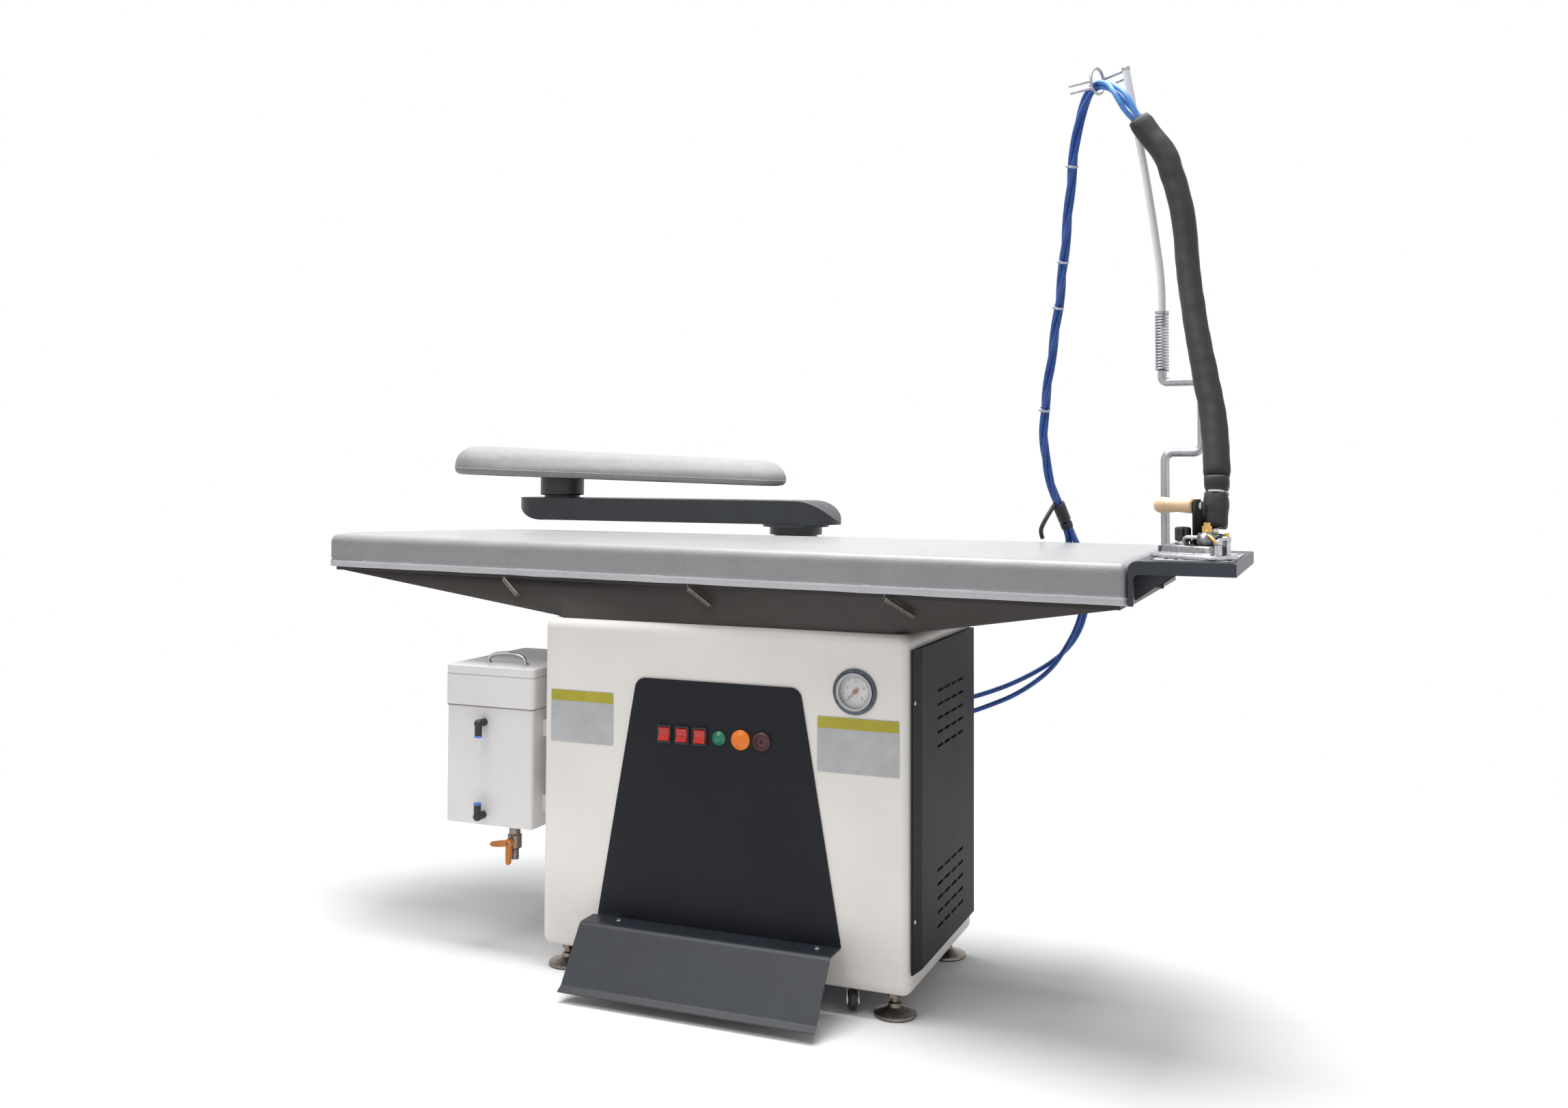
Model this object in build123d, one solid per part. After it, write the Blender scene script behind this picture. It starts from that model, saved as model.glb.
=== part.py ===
from build123d import *
import math
import os

os.makedirs("parts", exist_ok=True)

# Vacuum ironing table with a built-in steam boiler, a swinging sleeve board,
# a water tank and a steam iron on a side rest. Millimetres, +Z up.
# The model is drawn from the middle of the cabinet's front edge on the floor
# (X to the right as seen from the front, Y to the back) and is moved at the
# end, so that the origin lies under the middle of the whole machine.

# Cabinet
cab_w = 772.0
cab_d = 425.0
cab_bottom = 46.0
cab_top = 700.0
sheet = 1.5
cab_edge_r = 20.0
cab_flange = 32.0
open_front = 34.0
open_back = 20.0
open_low = 58.0
open_high = 44.0
seat_gap = 0.3

# Service cover on the right side
cover_out = 9.0
cover_low = cab_bottom + 42.0
cover_high = cab_top - 27.0
cover_front = 6.0
cover_slope = 46.0
cover_over = 3.0
slot_len = 40.0
slot_high = 5.5
slot_step_y = 49.0
slot_step_z = 26.5
slot_first_y = 170.0
slot_rows = 5
slot_columns = 4
upper_slots_z = cover_high - 199.0
lower_slots_z = cover_low + 46.0
strip_screw_y = 16.0
strip_screw_z = (cover_high - 97.0, cover_low + 93.0)

# Control panel
panel_top = cab_top - 108.0
panel_low = cab_bottom + 73.0
panel_half_top = 172.0
panel_half_low = 255.0
panel_round = 22.0
panel_thick = 2.5

# Switches, lamps and buzzer on the control panel
control_z = 487.0
rocker_x = (-109.0, -71.0, -33.0)
rocker_w = 22.0
rocker_h = 27.0
rocker_gap = 0.6
bezel_wall = 3.2
key_wall = 1.4
bezel_proud = 4.0
bezel_depth = 24.0
rocker_pivot_r = 2.0
pivot_gap = 0.05
green_x = 7.0
orange_x = 52.0
buzzer_x = 96.0
green_r = 13.5
orange_r = 19.0
buzzer_r = 18.0

# Pressure gauge
gauge_x = cab_w / 2 - 106.0
gauge_z = cab_top - 108.0
gauge_flange_r = 42.5
gauge_body_r = 33.0
gauge_face_r = 30.0
gauge_depth = 38.0
gauge_proud = 7.0
needle_len = 21.0
needle_pin_r = 1.5

# Table board
board_right = 788.0
board_front = -98.0
board_back = 540.0
nose_x = -1012.0
nose_y = 100.0
tip_x = -1050.0
tip_y = 205.0
curve_x = -800.0
table_top = cab_top + 150.0
hem_low = table_top - 72.0
cover_cloth = 3.0
cover_round = 18.0
cloth_gap = 0.3
foam_thick = 17.0
deck_sheet = 2.0
deck_rim = 22.0
deck_hole_r = 8.0
deck_hole_rows = 4
deck_hole_columns = 9

# Springs that pull the cover's hem down
cover_spring_x = (-511.0, -61.0, 353.0)
cover_spring_run = 46.0
cover_spring_drop = 40.0
cover_coil_r = 4.4
cover_wire_r = 0.9
cover_coil_turns = 12

# Suction hood between table and cabinet
hood_rim_low = hem_low - 8.0
hood_inset = 14.0
hood_wall = 1.5
hood_corner = 26.0

# Iron rest at the right end
rest_len = 172.0
rest_back = 300.0
rest_plate_back = 528.0
rest_plate = 3.0
rest_rim = 22.0
gusset_reach = 96.0
rest_top = table_top + 3.0
rest_screws = ((board_front + 69.0, table_top - 36.0), (rest_back - 33.0, table_top - 54.0))
mat_thick = 3.0
mat_gap = 12.0

# Levelling feet
foot_x = cab_w / 2 - 41.0
foot_front_y = 42.0
foot_back_y = cab_d - 33.0
foot_r = 40.0
foot_stem_r = 8.0
foot_stem_top = 92.0
tray_sheet = 3.0
tray_rim = 26.0

# Casters beside the front feet
caster_x = foot_x - 85.0
caster_y = 44.0
wheel_r = 19.0
wheel_w = 17.0
wheel_clear = 3.0
caster_trail = 18.0
caster_pin_r = 6.0
axle_r = 4.0

# Foot pedal
pedal_half = panel_half_low + 2.0
pedal_back_y = -14.0
pedal_fold_y = -66.0
pedal_top = 125.0
pedal_toe_y = -136.0
pedal_toe_z = 27.0
pedal_lip = 14.0
pedal_sheet = 3.0
pedal_pivot_y = -12.0
pedal_pivot_z = 104.0
pedal_pin_r = 5.0
pedal_arm_x = pedal_half - 52.0

# Water tank on the left
tank_stand = 36.0
tank_w = 209.0
tank_right = -cab_w / 2 - tank_stand
tank_left = tank_right - tank_w
tank_front = 20.0
tank_depth = 300.0
tank_back = tank_front + tank_depth
tank_low = 264.0
tank_tall = 322.5
tank_high = tank_low + tank_tall
tank_wall = 1.5
lid_skirt = 15.0
band_low = tank_high - 78.5
band_proud = 3.0
sight_x = tank_left + 93.0
sight_low = tank_low + 21.0
sight_high = tank_high - 111.5
drain_x = tank_left + 143.0
drain_y = tank_front + 42.0

# Swing arm and sleeve board behind the table
arm_y = 604.0
arm_x = -75.0
arm_reach = 629.0
arm_low = table_top + 24.0
arm_high = arm_low + 54.0
arm_half = 66.0
arm_over = 108.0
arm_wall = 6.0
post_r = 50.0
post_flange_r = 61.0
collar_r = 77.0
spigot_r = 36.0
hub_r = 54.0
hub_high = arm_high + 50.0
arm_duct_half = 40.0
arm_duct_low = cab_top + 18.0
arm_duct_high = hood_rim_low - 6.0
arm_duct_front = cab_d - 45.0
hub_spigot_r = 30.0
turn_gap = 0.06
pad_tilt = 1.6
pad_taper = 0.9
board_thick = 10.0
pad_left = 300.0
pad_right = 600.0
pad_wide = 112.0
pad_narrow = 66.0
pad_high = 64.0

# Hose mast
mast_x = 809.0
mast_y = 200.0
mast_r = 8.0
mast_jog = 66.0
jog_low = 1036.0
jog_high = 1166.0
spring_high = 1292.0
coil_r = 8.8
coil_wire_r = 2.0
mast_pivot_z = 1185.0
coil_turns = 19
ring_r = 24.0
ring_wire_r = 3.0
ring_x = 693.0
ring_z = 1739.0
ring_turn = -20.0
mast_lean_x = 746.0
mast_top_z = 1757.0

# Steam iron
iron_x = 887.0
iron_y = -28.0
iron_len = 168.0
iron_half = 47.0
iron_turn = -25.0
sole_thick = 14.0

# Hoses
bundle_r = 10.0
tail_r = 5.0
sleeve_r = 20.0


def block(x0, x1, y0, y1, z0, z1):
    size = Box(x1 - x0, y1 - y0, z1 - z0)
    return Pos((x0 + x1) / 2, (y0 + y1) / 2, (z0 + z1) / 2) * size


def post(x, y, z0, z1, radius):
    return Pos(x, y, (z0 + z1) / 2) * Cylinder(radius, z1 - z0)


def bar_x(y, z, x0, x1, radius):
    return Pos((x0 + x1) / 2, y, z) * Rot(0, 90, 0) * Cylinder(radius, x1 - x0)


def bar_y(x, z, y0, y1, radius):
    return Pos(x, (y0 + y1) / 2, z) * Rot(90, 0, 0) * Cylinder(radius, y1 - y0)


def turned(points, x, y):
    """Body of revolution about a vertical axis through x, y."""
    outline = make_face(Polyline(*[(r, 0, z) for r, z in points], close=True))
    return Pos(x, y, 0) * revolve(outline, Axis.Z, 360)


def tube_along(points, radii, radius):
    """Round bar along straight runs joined by arcs."""
    path = FilletPolyline(*points, radius=radii)
    section = Plane(origin=path @ 0, z_dir=path % 0) * Circle(radius)
    return sweep(section, path=path)


def smooth_radii(points):
    """Arc radius at each inner point: 0.45 of the shorter run over the tangent of half the turn."""
    radii = []
    for before, here, after in zip(points, points[1:], points[2:]):
        a = Vector(*here) - Vector(*before)
        b = Vector(*after) - Vector(*here)
        turn = math.radians(a.get_angle(b))
        radii.append(0.45 * min(a.length, b.length) / math.tan(turn / 2))
    return radii


def front_edges(body, y):
    return [e for e in body.edges() if abs(e.center().Y - y) < 0.01]


# Cabinet

def cabinet_block(inset):
    """Cabinet body with every front edge and long edge rounded."""
    body = block(-cab_w / 2 + inset, cab_w / 2 - inset, inset, cab_d, cab_bottom + inset, cab_top - inset)
    edges = front_edges(body, inset) + body.edges().filter_by(Axis.Y)
    return fillet(edges, cab_edge_r - inset)


def cabinet_shell():
    inner = cabinet_block(sheet) + block(-cab_w / 2 + sheet + cab_edge_r, cab_w / 2 - sheet - cab_edge_r,
                                         cab_d - 1, cab_d + 5, cab_bottom + cab_edge_r, cab_top - cab_edge_r)
    shell = cabinet_block(0) - inner
    # Open underside with a turned-in flange, and the service opening on the right
    shell -= block(-cab_w / 2 + cab_flange, cab_w / 2 - cab_flange, cab_flange, cab_d + 5,
                   cab_bottom - 5, cab_bottom + 10)
    shell -= block(cab_w / 2 - 10, cab_w / 2 + 10, open_front, cab_d - open_back,
                   cab_bottom + open_low, cab_top - open_high)
    # Suction duct hole in the top, gauge hole, switch holes and lamp holes in the front
    shell -= post(fan_x, fan_y, cab_top - 10, cab_top + 10, duct_r + 1)
    for tool in front_tools(cab=True):
        shell -= tool
    return shell


def front_tools(cab):
    """Cutters for what passes through the cabinet front, and with cab for the gauge too."""
    tools = []
    depth = (-panel_thick - 5, 12)
    for x in rocker_x:
        half_w = rocker_w / 2 + rocker_gap + key_wall + seat_gap
        half_h = rocker_h / 2 + rocker_gap + key_wall + seat_gap
        tools.append(block(x - half_w, x + half_w, *depth, control_z - half_h, control_z + half_h))
    for x, radius in ((green_x, green_r), (orange_x, orange_r), (buzzer_x, buzzer_r)):
        tools.append(bar_y(x, control_z, *depth, radius - 3))
    if cab:
        tools.append(bar_y(gauge_x, gauge_z, *depth, gauge_body_r + seat_gap))
    return tools


def base_tray():
    """Floor tray with an upturned rim and welded nuts for the feet and casters."""
    half = cab_w / 2 - cab_edge_r - seat_gap
    low = cab_bottom + sheet
    front = cab_edge_r + seat_gap
    back = cab_d - 6
    tray = block(-half, half, front, back, low, low + tray_sheet)
    rim = block(-half, half, front, back, low, low + tray_rim)
    rim -= block(-half + tray_sheet, half - tray_sheet, front + tray_sheet, back - tray_sheet,
                 low - 1, low + tray_rim + 1)
    tray += rim
    for x in (-foot_x, foot_x):
        for y in (foot_front_y, foot_back_y):
            nut = extrude(Pos(x, y, low + tray_sheet) * RegularPolygon(15, 6), 13)
            tray += nut
            tray -= post(x, y, cab_bottom - 5, low + 30, foot_stem_r + pivot_gap)
    for x in (-caster_x, caster_x):
        tray += post(x, caster_y, low, low + 18, 13)
        tray -= post(x, caster_y, cab_bottom - 5, low + 30, caster_pin_r + pivot_gap)
    return tray


def back_panel():
    """Rear sheet inside the cabinet edge, with louvres and two hose unions."""
    half = cab_w / 2 - sheet - seat_gap
    panel = block(-half, half, cab_d - 3.4, cab_d - 1.4, cab_bottom + cab_edge_r, cab_top - cab_edge_r)
    for row in range(4):
        panel -= block(-120, 120, cab_d - 6, cab_d + 2, 180 + row * 22, 186 + row * 22)
    for x, z in hose_unions:
        panel += bar_y(x, z, cab_d - 10, cab_d + 12, 9)
        panel += bar_y(x, z, cab_d + 12, cab_d + union_out, tail_r + 2)
    return panel


def side_cover():
    """Vented service cover: its front strip slopes out to the flat face."""
    x0 = cab_w / 2 + seat_gap
    x1 = cab_w / 2 + cover_out
    back = cab_d + cover_over
    profile = Polyline((x0, cover_front), (x0 + 3, cover_front), (x1, cover_slope), (x1, back - 2),
                       (x1 - 2, back), (x0, back), close=True)
    body = Pos(0, 0, cover_low) * extrude(make_face(profile), cover_high - cover_low)
    cavity = block(x0 - 1, x1 - 1.5, cover_slope + 6, back - 3, cover_low + 3, cover_high - 3)
    body -= cavity
    for first in (upper_slots_z, lower_slots_z):
        for row in range(slot_rows):
            for column in range(slot_columns):
                y = slot_first_y + column * slot_step_y
                z = first + row * slot_step_z
                spot = Plane(origin=(x1 - 5, y, z), x_dir=(0, 1, 0), z_dir=(1, 0, 0))
                body -= extrude(spot * SlotOverall(slot_len, slot_high), 10)
    return body


def cap_screw(x, y, z, direction, radius=4.0):
    """Pan head screw, seated with its head standing out along direction."""
    head = Pos(0, 0, 1.2) * Cylinder(radius, 2.4)
    head = fillet(head.edges().sort_by(Axis.Z)[-1:], 1.0)
    return Plane(origin=(x, y, z), z_dir=direction) * head


def strip_spot(y, z):
    """Point on the sloping front strip of the side cover, and its outward direction."""
    x0 = cab_w / 2 + seat_gap + 3
    x1 = cab_w / 2 + cover_out
    share = (y - cover_front) / (cover_slope - cover_front)
    normal = Vector(cover_slope - cover_front, x0 - x1, 0).normalized()
    return (x0 + share * (x1 - x0), y, z), normal


def control_panel():
    """Trapezoid front plate with rounded upper corners."""
    points = [(-panel_half_low, panel_low), (panel_half_low, panel_low),
              (panel_half_top, panel_top), (-panel_half_top, panel_top)]
    outline = Polyline(*points, close=True)
    face = make_face(outline)
    top = face.vertices().sort_by(Axis.Y)[-2:]
    face = fillet(top, panel_round)
    face = fillet(face.vertices().sort_by(Axis.Y)[:2], 5)
    plate = Plane(origin=(0, -seat_gap, 0), x_dir=(1, 0, 0), z_dir=(0, -1, 0)) * extrude(face, panel_thick)
    for tool in front_tools(cab=False):
        plate -= tool
    return plate


panel_face = -seat_gap - panel_thick


def switch_bezels():
    """Three snap-in switch housings with an open well for the rocker."""
    group = []
    for x in rocker_x:
        w = rocker_w / 2 + rocker_gap + bezel_wall
        h = rocker_h / 2 + rocker_gap + bezel_wall
        rim = block(x - w, x + w, panel_face - bezel_proud, panel_face - 0.05, control_z - h, control_z + h)
        rim = fillet(rim.edges().filter_by(Axis.Y), 3)
        body_w = rocker_w / 2 + rocker_gap + key_wall
        body_h = rocker_h / 2 + rocker_gap + key_wall
        body = block(x - body_w, x + body_w, panel_face - 1, panel_face + bezel_depth,
                     control_z - body_h, control_z + body_h)
        well_w = rocker_w / 2 + rocker_gap
        well_h = rocker_h / 2 + rocker_gap
        well = block(x - well_w, x + well_w, panel_face - bezel_proud - 1, panel_face + bezel_depth - 3,
                     control_z - well_h, control_z + well_h)
        pins = bar_x(panel_face + 1, control_z, x - body_w + 0.2, x + body_w - 0.2, rocker_pivot_r)
        housing = rim + body - well + pins
        group.append(housing)
    return Compound(children=group)


def rocker(x):
    """Rocker key: two flat pads that meet in a shallow valley over its pivot."""
    half_w = rocker_w / 2
    half_h = rocker_h / 2 - 0.6
    y = panel_face
    profile = Polyline((y + 5, -6), (y - 2.2, -half_h), (y - 8.2, -half_h + 0.8), (y - 4.2, 0),
                       (y - 6.0, half_h - 0.8), (y + 0.2, half_h), (y + 5, 6), close=True)
    face = Plane(origin=(x - half_w, 0, control_z), x_dir=(0, 1, 0), z_dir=(1, 0, 0)) * make_face(profile)
    key = extrude(face, rocker_w)
    return key - bar_x(y + 1, control_z, x - half_w - 1, x + half_w + 1, rocker_pivot_r + pivot_gap)


def pilot_lamps():
    """Green and orange pilot lamps: a bezel ring with a domed lens each."""
    group = []
    for x, radius in ((green_x, green_r), (orange_x, orange_r)):
        points = [(0, 0), (radius, 0), (radius, 3), (radius - 2, 5), (radius - 3, 5),
                  (radius * 0.5, 9), (0, 10)]
        lamp = turned(points, 0, 0)
        lamp += Pos(0, 0, -11) * Cylinder(radius - 4, 22)
        group.append(Plane(origin=(x, panel_face - 0.05, control_z), z_dir=(0, -1, 0)) * lamp)
    return Compound(children=group)


def alarm_buzzer():
    """Round buzzer with a raised ring and a sounding hole."""
    points = [(0, 0), (buzzer_r, 0), (buzzer_r, 4), (buzzer_r - 2, 6), (buzzer_r - 5, 6), (buzzer_r - 6, 3.5),
              (3, 3.5), (3, 1), (0, 1)]
    horn = turned(points, 0, 0) + Pos(0, 0, -11) * Cylinder(buzzer_r - 5, 22)
    return Plane(origin=(buzzer_x, panel_face - 0.05, control_z), z_dir=(0, -1, 0)) * horn


# Pressure gauge

def gauge_case():
    """Front flange, a cup behind it and the pressure stem."""
    points = [(0, -gauge_depth), (gauge_body_r, -gauge_depth), (gauge_body_r, seat_gap),
              (gauge_flange_r, seat_gap),
              (gauge_flange_r, 2.5), (gauge_body_r + 3, 3.5), (gauge_body_r + 2, gauge_proud),
              (gauge_face_r + 0.4, gauge_proud), (gauge_face_r + 0.4, -6), (0, -6)]
    cup = turned(points, 0, 0)
    cup += Pos(0, 0, -gauge_depth - 12) * Cylinder(7, 26)
    for angle in (90, 210, 330):
        x = (gauge_flange_r - 4.4) * math.cos(math.radians(angle))
        y = (gauge_flange_r - 4.4) * math.sin(math.radians(angle))
        cup += Pos(x, y, 3.5) * Cylinder(2.6, 3)
    return gauge_place * cup


def gauge_dial():
    dial = Pos(0, 0, -5.2) * Cylinder(gauge_face_r, 1.4)
    return gauge_place * (dial + Pos(0, 0, -2.5) * Cylinder(needle_pin_r, 5))


def gauge_needle():
    """Tapered pointer with a round hub and a short tail; it points to the lower left at rest."""
    outline = make_face(Polyline((-8, -1.6), (needle_len, -0.5), (needle_len, 0.5), (-8, 1.6), close=True))
    needle = Pos(0, 0, -2.4) * extrude(outline, 0.8)
    needle += Pos(0, 0, -1.6) * Cylinder(4, 3)
    needle -= Pos(0, 0, -2) * Cylinder(needle_pin_r + pivot_gap, 10)
    return gauge_place * Rot(0, 0, 225) * needle


def gauge_glass():
    return gauge_place * Pos(0, 0, 4.6) * Cylinder(gauge_face_r, 2)


gauge_place = Plane(origin=(gauge_x, 0, gauge_z), x_dir=(1, 0, 0), z_dir=(0, -1, 0))


# Table

board_points = [(board_right, board_front), (board_right, board_back), (curve_x, board_back),
                (tip_x, tip_y), (nose_x, nose_y)]
board_radii = [12.0, 25.0, 260.0, 70.0, 25.0]


def board_face(inset):
    """Snub-nosed outline of the board, drawn in by inset."""
    face = make_face(FilletPolyline(*board_points, radius=board_radii, close=True))
    if inset:
        face = offset(face, -inset, kind=Kind.INTERSECTION).face()
    return face


def board_slab(inset, low, high, rounding):
    slab = Pos(0, 0, low) * extrude(board_face(inset), high - low)
    if rounding:
        slab = fillet(slab.edges().group_by(Axis.Z)[-1], rounding)
    return slab


cover_inset = cover_cloth + cloth_gap
deck_top = table_top - cover_cloth - cloth_gap - foam_thick - cloth_gap


def table_cover():
    """Cloth cover: a taut top, a rounded edge and a skirt with a thicker hem."""
    skin = board_slab(0, hem_low, table_top, cover_round)
    skin -= board_slab(cover_cloth, hem_low - 5, table_top - cover_cloth, cover_round - cover_cloth)
    return skin


def foam_pad():
    return board_slab(cover_inset, deck_top + cloth_gap, table_top - cover_cloth - cloth_gap,
                      min(cover_round - cover_cloth - cloth_gap, foam_thick - 1))


def table_deck():
    """Perforated steel deck with a turned-down rim."""
    deck = board_slab(cover_inset + 1, deck_top - deck_rim, deck_top, 0)
    deck -= board_slab(cover_inset + 1 + deck_sheet, deck_top - deck_rim - 1, deck_top - deck_sheet, 0)
    for row in range(deck_hole_rows):
        for column in range(deck_hole_columns):
            x = -560 + column * 150
            y = 80 + row * 110
            deck -= post(x, y, deck_top - 8, deck_top + 4, deck_hole_r)
    return deck


def front_line(x, inset):
    """Y of the board's slanting front edge at x, drawn in by inset."""
    slope = (board_front - nose_y) / (board_right - nose_x)
    return nose_y + slope * (x - nose_x) + inset


def hood_solid(extra):
    """Shallow hopper from the deck rim down to the cabinet top; extra makes the inner form."""
    half = cab_w / 2 - 10 - extra
    low = cab_top + seat_gap + extra
    high = hood_rim_low + extra
    front = 14 + extra
    back = cab_d - 12 - extra
    c = hood_corner
    inset = hood_inset + 6 + extra
    rear = board_back - inset
    tops = [(board_right - inset, front_line(board_right, inset)), (board_right - inset, rear), (half, rear),
            (-half, rear), (curve_x + 23 + extra, rear - 26), (tip_x + 32 + extra, tip_y - 5),
            (nose_x + 18 + extra, nose_y + 21 + extra), (-half, front_line(-half, inset)),
            (half, front_line(half, inset))]
    lows = [(half, front + c), (half, back - c), (half - c, back), (-half + c, back), (-half, back - c),
            (-half, (front + back) / 2), (-half, front + c), (-half + c, front), (half - c, front)]
    upper = Polyline(*[(x, y, high) for x, y in tops], close=True)
    lower = Polyline(*[(x, y, low) for x, y in lows], close=True)
    body = Solid.make_loft([lower, upper], ruled=True)
    rim = Pos(0, 0, high) * extrude(board_face(hood_inset + extra), hood_top - hood_rim_low)
    return body + rim


hood_top = deck_top - deck_sheet - seat_gap


def suction_hood():
    """Sheet metal hopper, open at the top, with the duct hole in its floor."""
    inner = hood_solid(hood_wall)
    hood = hood_solid(0) - inner
    for x, z in hood_unions:
        hood += bar_y(x, z, hood_union_y - 90, hood_union_y, tail_r + 2) - inner
    return hood - post(fan_x, fan_y, cab_top - 5, cab_top + 30, duct_r)


# Suction fan inside the cabinet

fan_x = -150.0
fan_y = 210.0
duct_r = 70.0
fan_r = 118.0
fan_top = cab_top - sheet - seat_gap
fan_high = 92.0
fan_shaft_r = 7.0
fan_outlet = 50.0
fan_outlet_w = 62.0
fan_sheet = 4.0
inlet_flange = 16.0
inlet_high = 14.0
motor_r = 62.0
motor_long = 120.0
motor_cap = 12.0


def fan_housing():
    """Round fan housing under the cabinet top with an inlet collar and the motor below."""
    top = fan_top
    low = top - fan_high
    roof = top - inlet_high
    side = fan_y + fan_r
    shell = post(fan_x, fan_y, low, roof, fan_r)
    shell += post(fan_x, fan_y, roof - 2, top, duct_r + inlet_flange)
    shell += block(fan_x, fan_x + fan_r + fan_outlet, side - fan_outlet_w, side, low, roof)
    shell -= post(fan_x, fan_y, low + fan_sheet, roof - fan_sheet, fan_r - fan_sheet)
    shell -= block(fan_x, fan_x + fan_r + fan_outlet + 10, side - fan_outlet_w + fan_sheet,
                   side - fan_sheet, low + fan_sheet, roof - fan_sheet)
    shell -= post(fan_x, fan_y, roof - inlet_flange, top + 5, duct_r)
    shell -= post(fan_x, fan_y, low - 5, low + 10, fan_shaft_r + turn_gap)
    return shell


def fan_motor():
    low = fan_top - fan_high
    end = low - motor_long
    motor = post(fan_x, fan_y, end, low - 0.1, motor_r)
    motor += post(fan_x, fan_y, end - motor_cap, end, motor_r - motor_cap)
    for angle in range(0, 360, 30):
        fin = Pos(motor_r + 2, 0, 0) * Box(9, 3, motor_long - 2 * motor_cap)
        motor += Pos(fan_x, fan_y, low - motor_long / 2 - 4) * Rot(0, 0, angle) * fin
    return motor - post(fan_x, fan_y, low - motor_long / 3, low + 2, fan_shaft_r + turn_gap)


def fan_impeller():
    """Backward-curved impeller: hub disc, blades and shaft."""
    low = fan_top - fan_high + 8
    wheel = post(fan_x, fan_y, low, low + 4, fan_r - 14)
    wheel += post(fan_x, fan_y, low, low + 34, 20)
    wheel += post(fan_x, fan_y, fan_top - fan_high - 36, low + 2, fan_shaft_r)
    for k in range(8):
        strip = make_face(Polyline((22, -1.5), (62, 14), (fan_r - 18, 4), (fan_r - 18, 7), (62, 17.5),
                                   (22, 1.5), close=True))
        blade = Pos(fan_x, fan_y, low + 3) * Rot(0, 0, k * 45) * extrude(strip, 40)
        wheel += blade
    return wheel


# Steam boiler inside the cabinet

boiler_x = 150.0
boiler_y = 215.0
boiler_z = 240.0
boiler_r = 95.0
boiler_len = 300.0
boss_out = 60.0
boss_r = 16.0
boss_high = 14.0
heater_r = 48.0
heater_cap_r = 32.0
heater_cap_long = 30.0
flange_thick = 12.0
solenoid_half = 22.0
solenoid_high = 50.0


def boiler():
    """Lying pressure vessel with dished ends on two saddles."""
    half = boiler_len / 2
    vessel = bar_x(boiler_y, boiler_z, boiler_x - half, boiler_x + half, boiler_r)
    vessel = fillet(vessel.edges().filter_by(GeomType.CIRCLE), 32)
    for x in (boiler_x - boss_out, boiler_x + boss_out):
        vessel += post(x, boiler_y, boiler_z + boiler_r - 6, boiler_z + boiler_r + boss_high, boss_r)
    floor = cab_bottom + sheet + tray_sheet + 0.2
    for x in (boiler_x - 90, boiler_x + 90):
        vessel += block(x - 8, x + 8, boiler_y - 70, boiler_y + 70, floor, boiler_z - boiler_r * 0.6)
        vessel += block(x - 22, x + 22, boiler_y - 80, boiler_y + 80, floor, floor + 4)
    return vessel


def boiler_heater():
    """Flanged heater with its bolts and terminal cap on the vessel's right end."""
    x0 = boiler_x + boiler_len / 2 + 0.1
    x1 = x0 + flange_thick
    flange = bar_x(boiler_y, boiler_z, x0, x1, heater_r)
    flange += bar_x(boiler_y, boiler_z, x1, x1 + heater_cap_long, heater_cap_r)
    for k in range(6):
        y = boiler_y + (heater_r - 8) * math.cos(math.radians(60 * k))
        z = boiler_z + (heater_r - 8) * math.sin(math.radians(60 * k))
        flange += bar_x(y, z, x1, x1 + 7, 5)
    return flange


def boiler_fittings():
    return Compound(children=[boiler_heater(), *boiler_valves()])


def boiler_valves():
    """Safety valve and steam solenoid valve on the vessel's top bosses."""
    base = boiler_z + boiler_r + boss_high + 0.1
    profile = [(0, 0), (13, 0), (13, 20), (9, 22), (9, 60), (6, 66), (0, 66)]
    safety = turned([(r, base + z) for r, z in profile], boiler_x - boss_out, boiler_y)
    x = boiler_x + boss_out
    solenoid = post(x, boiler_y, base, base + 26, boss_r - 2)
    solenoid += block(x - solenoid_half, x + solenoid_half, boiler_y - solenoid_half + 4,
                      boiler_y + solenoid_half - 4, base + 26, base + 26 + solenoid_high)
    solenoid += bar_x(boiler_y, base + 13, x, x + 40, 9)
    return [safety, solenoid]


def feed_pump():
    """Feed water pump with its motor on the tray."""
    floor = cab_bottom + sheet + tray_sheet + 0.2
    body = block(-300, -190, 160, 250, floor, floor + 6)
    body += bar_x(205, floor + 50, -298, -200, 38)
    body += bar_x(205, floor + 50, -200, -168, 30)
    body += block(-290, -210, 185, 225, floor, floor + 30)
    body += post(-184, 205, floor + 60, floor + 98, 9)
    return body


# Iron rest

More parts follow.
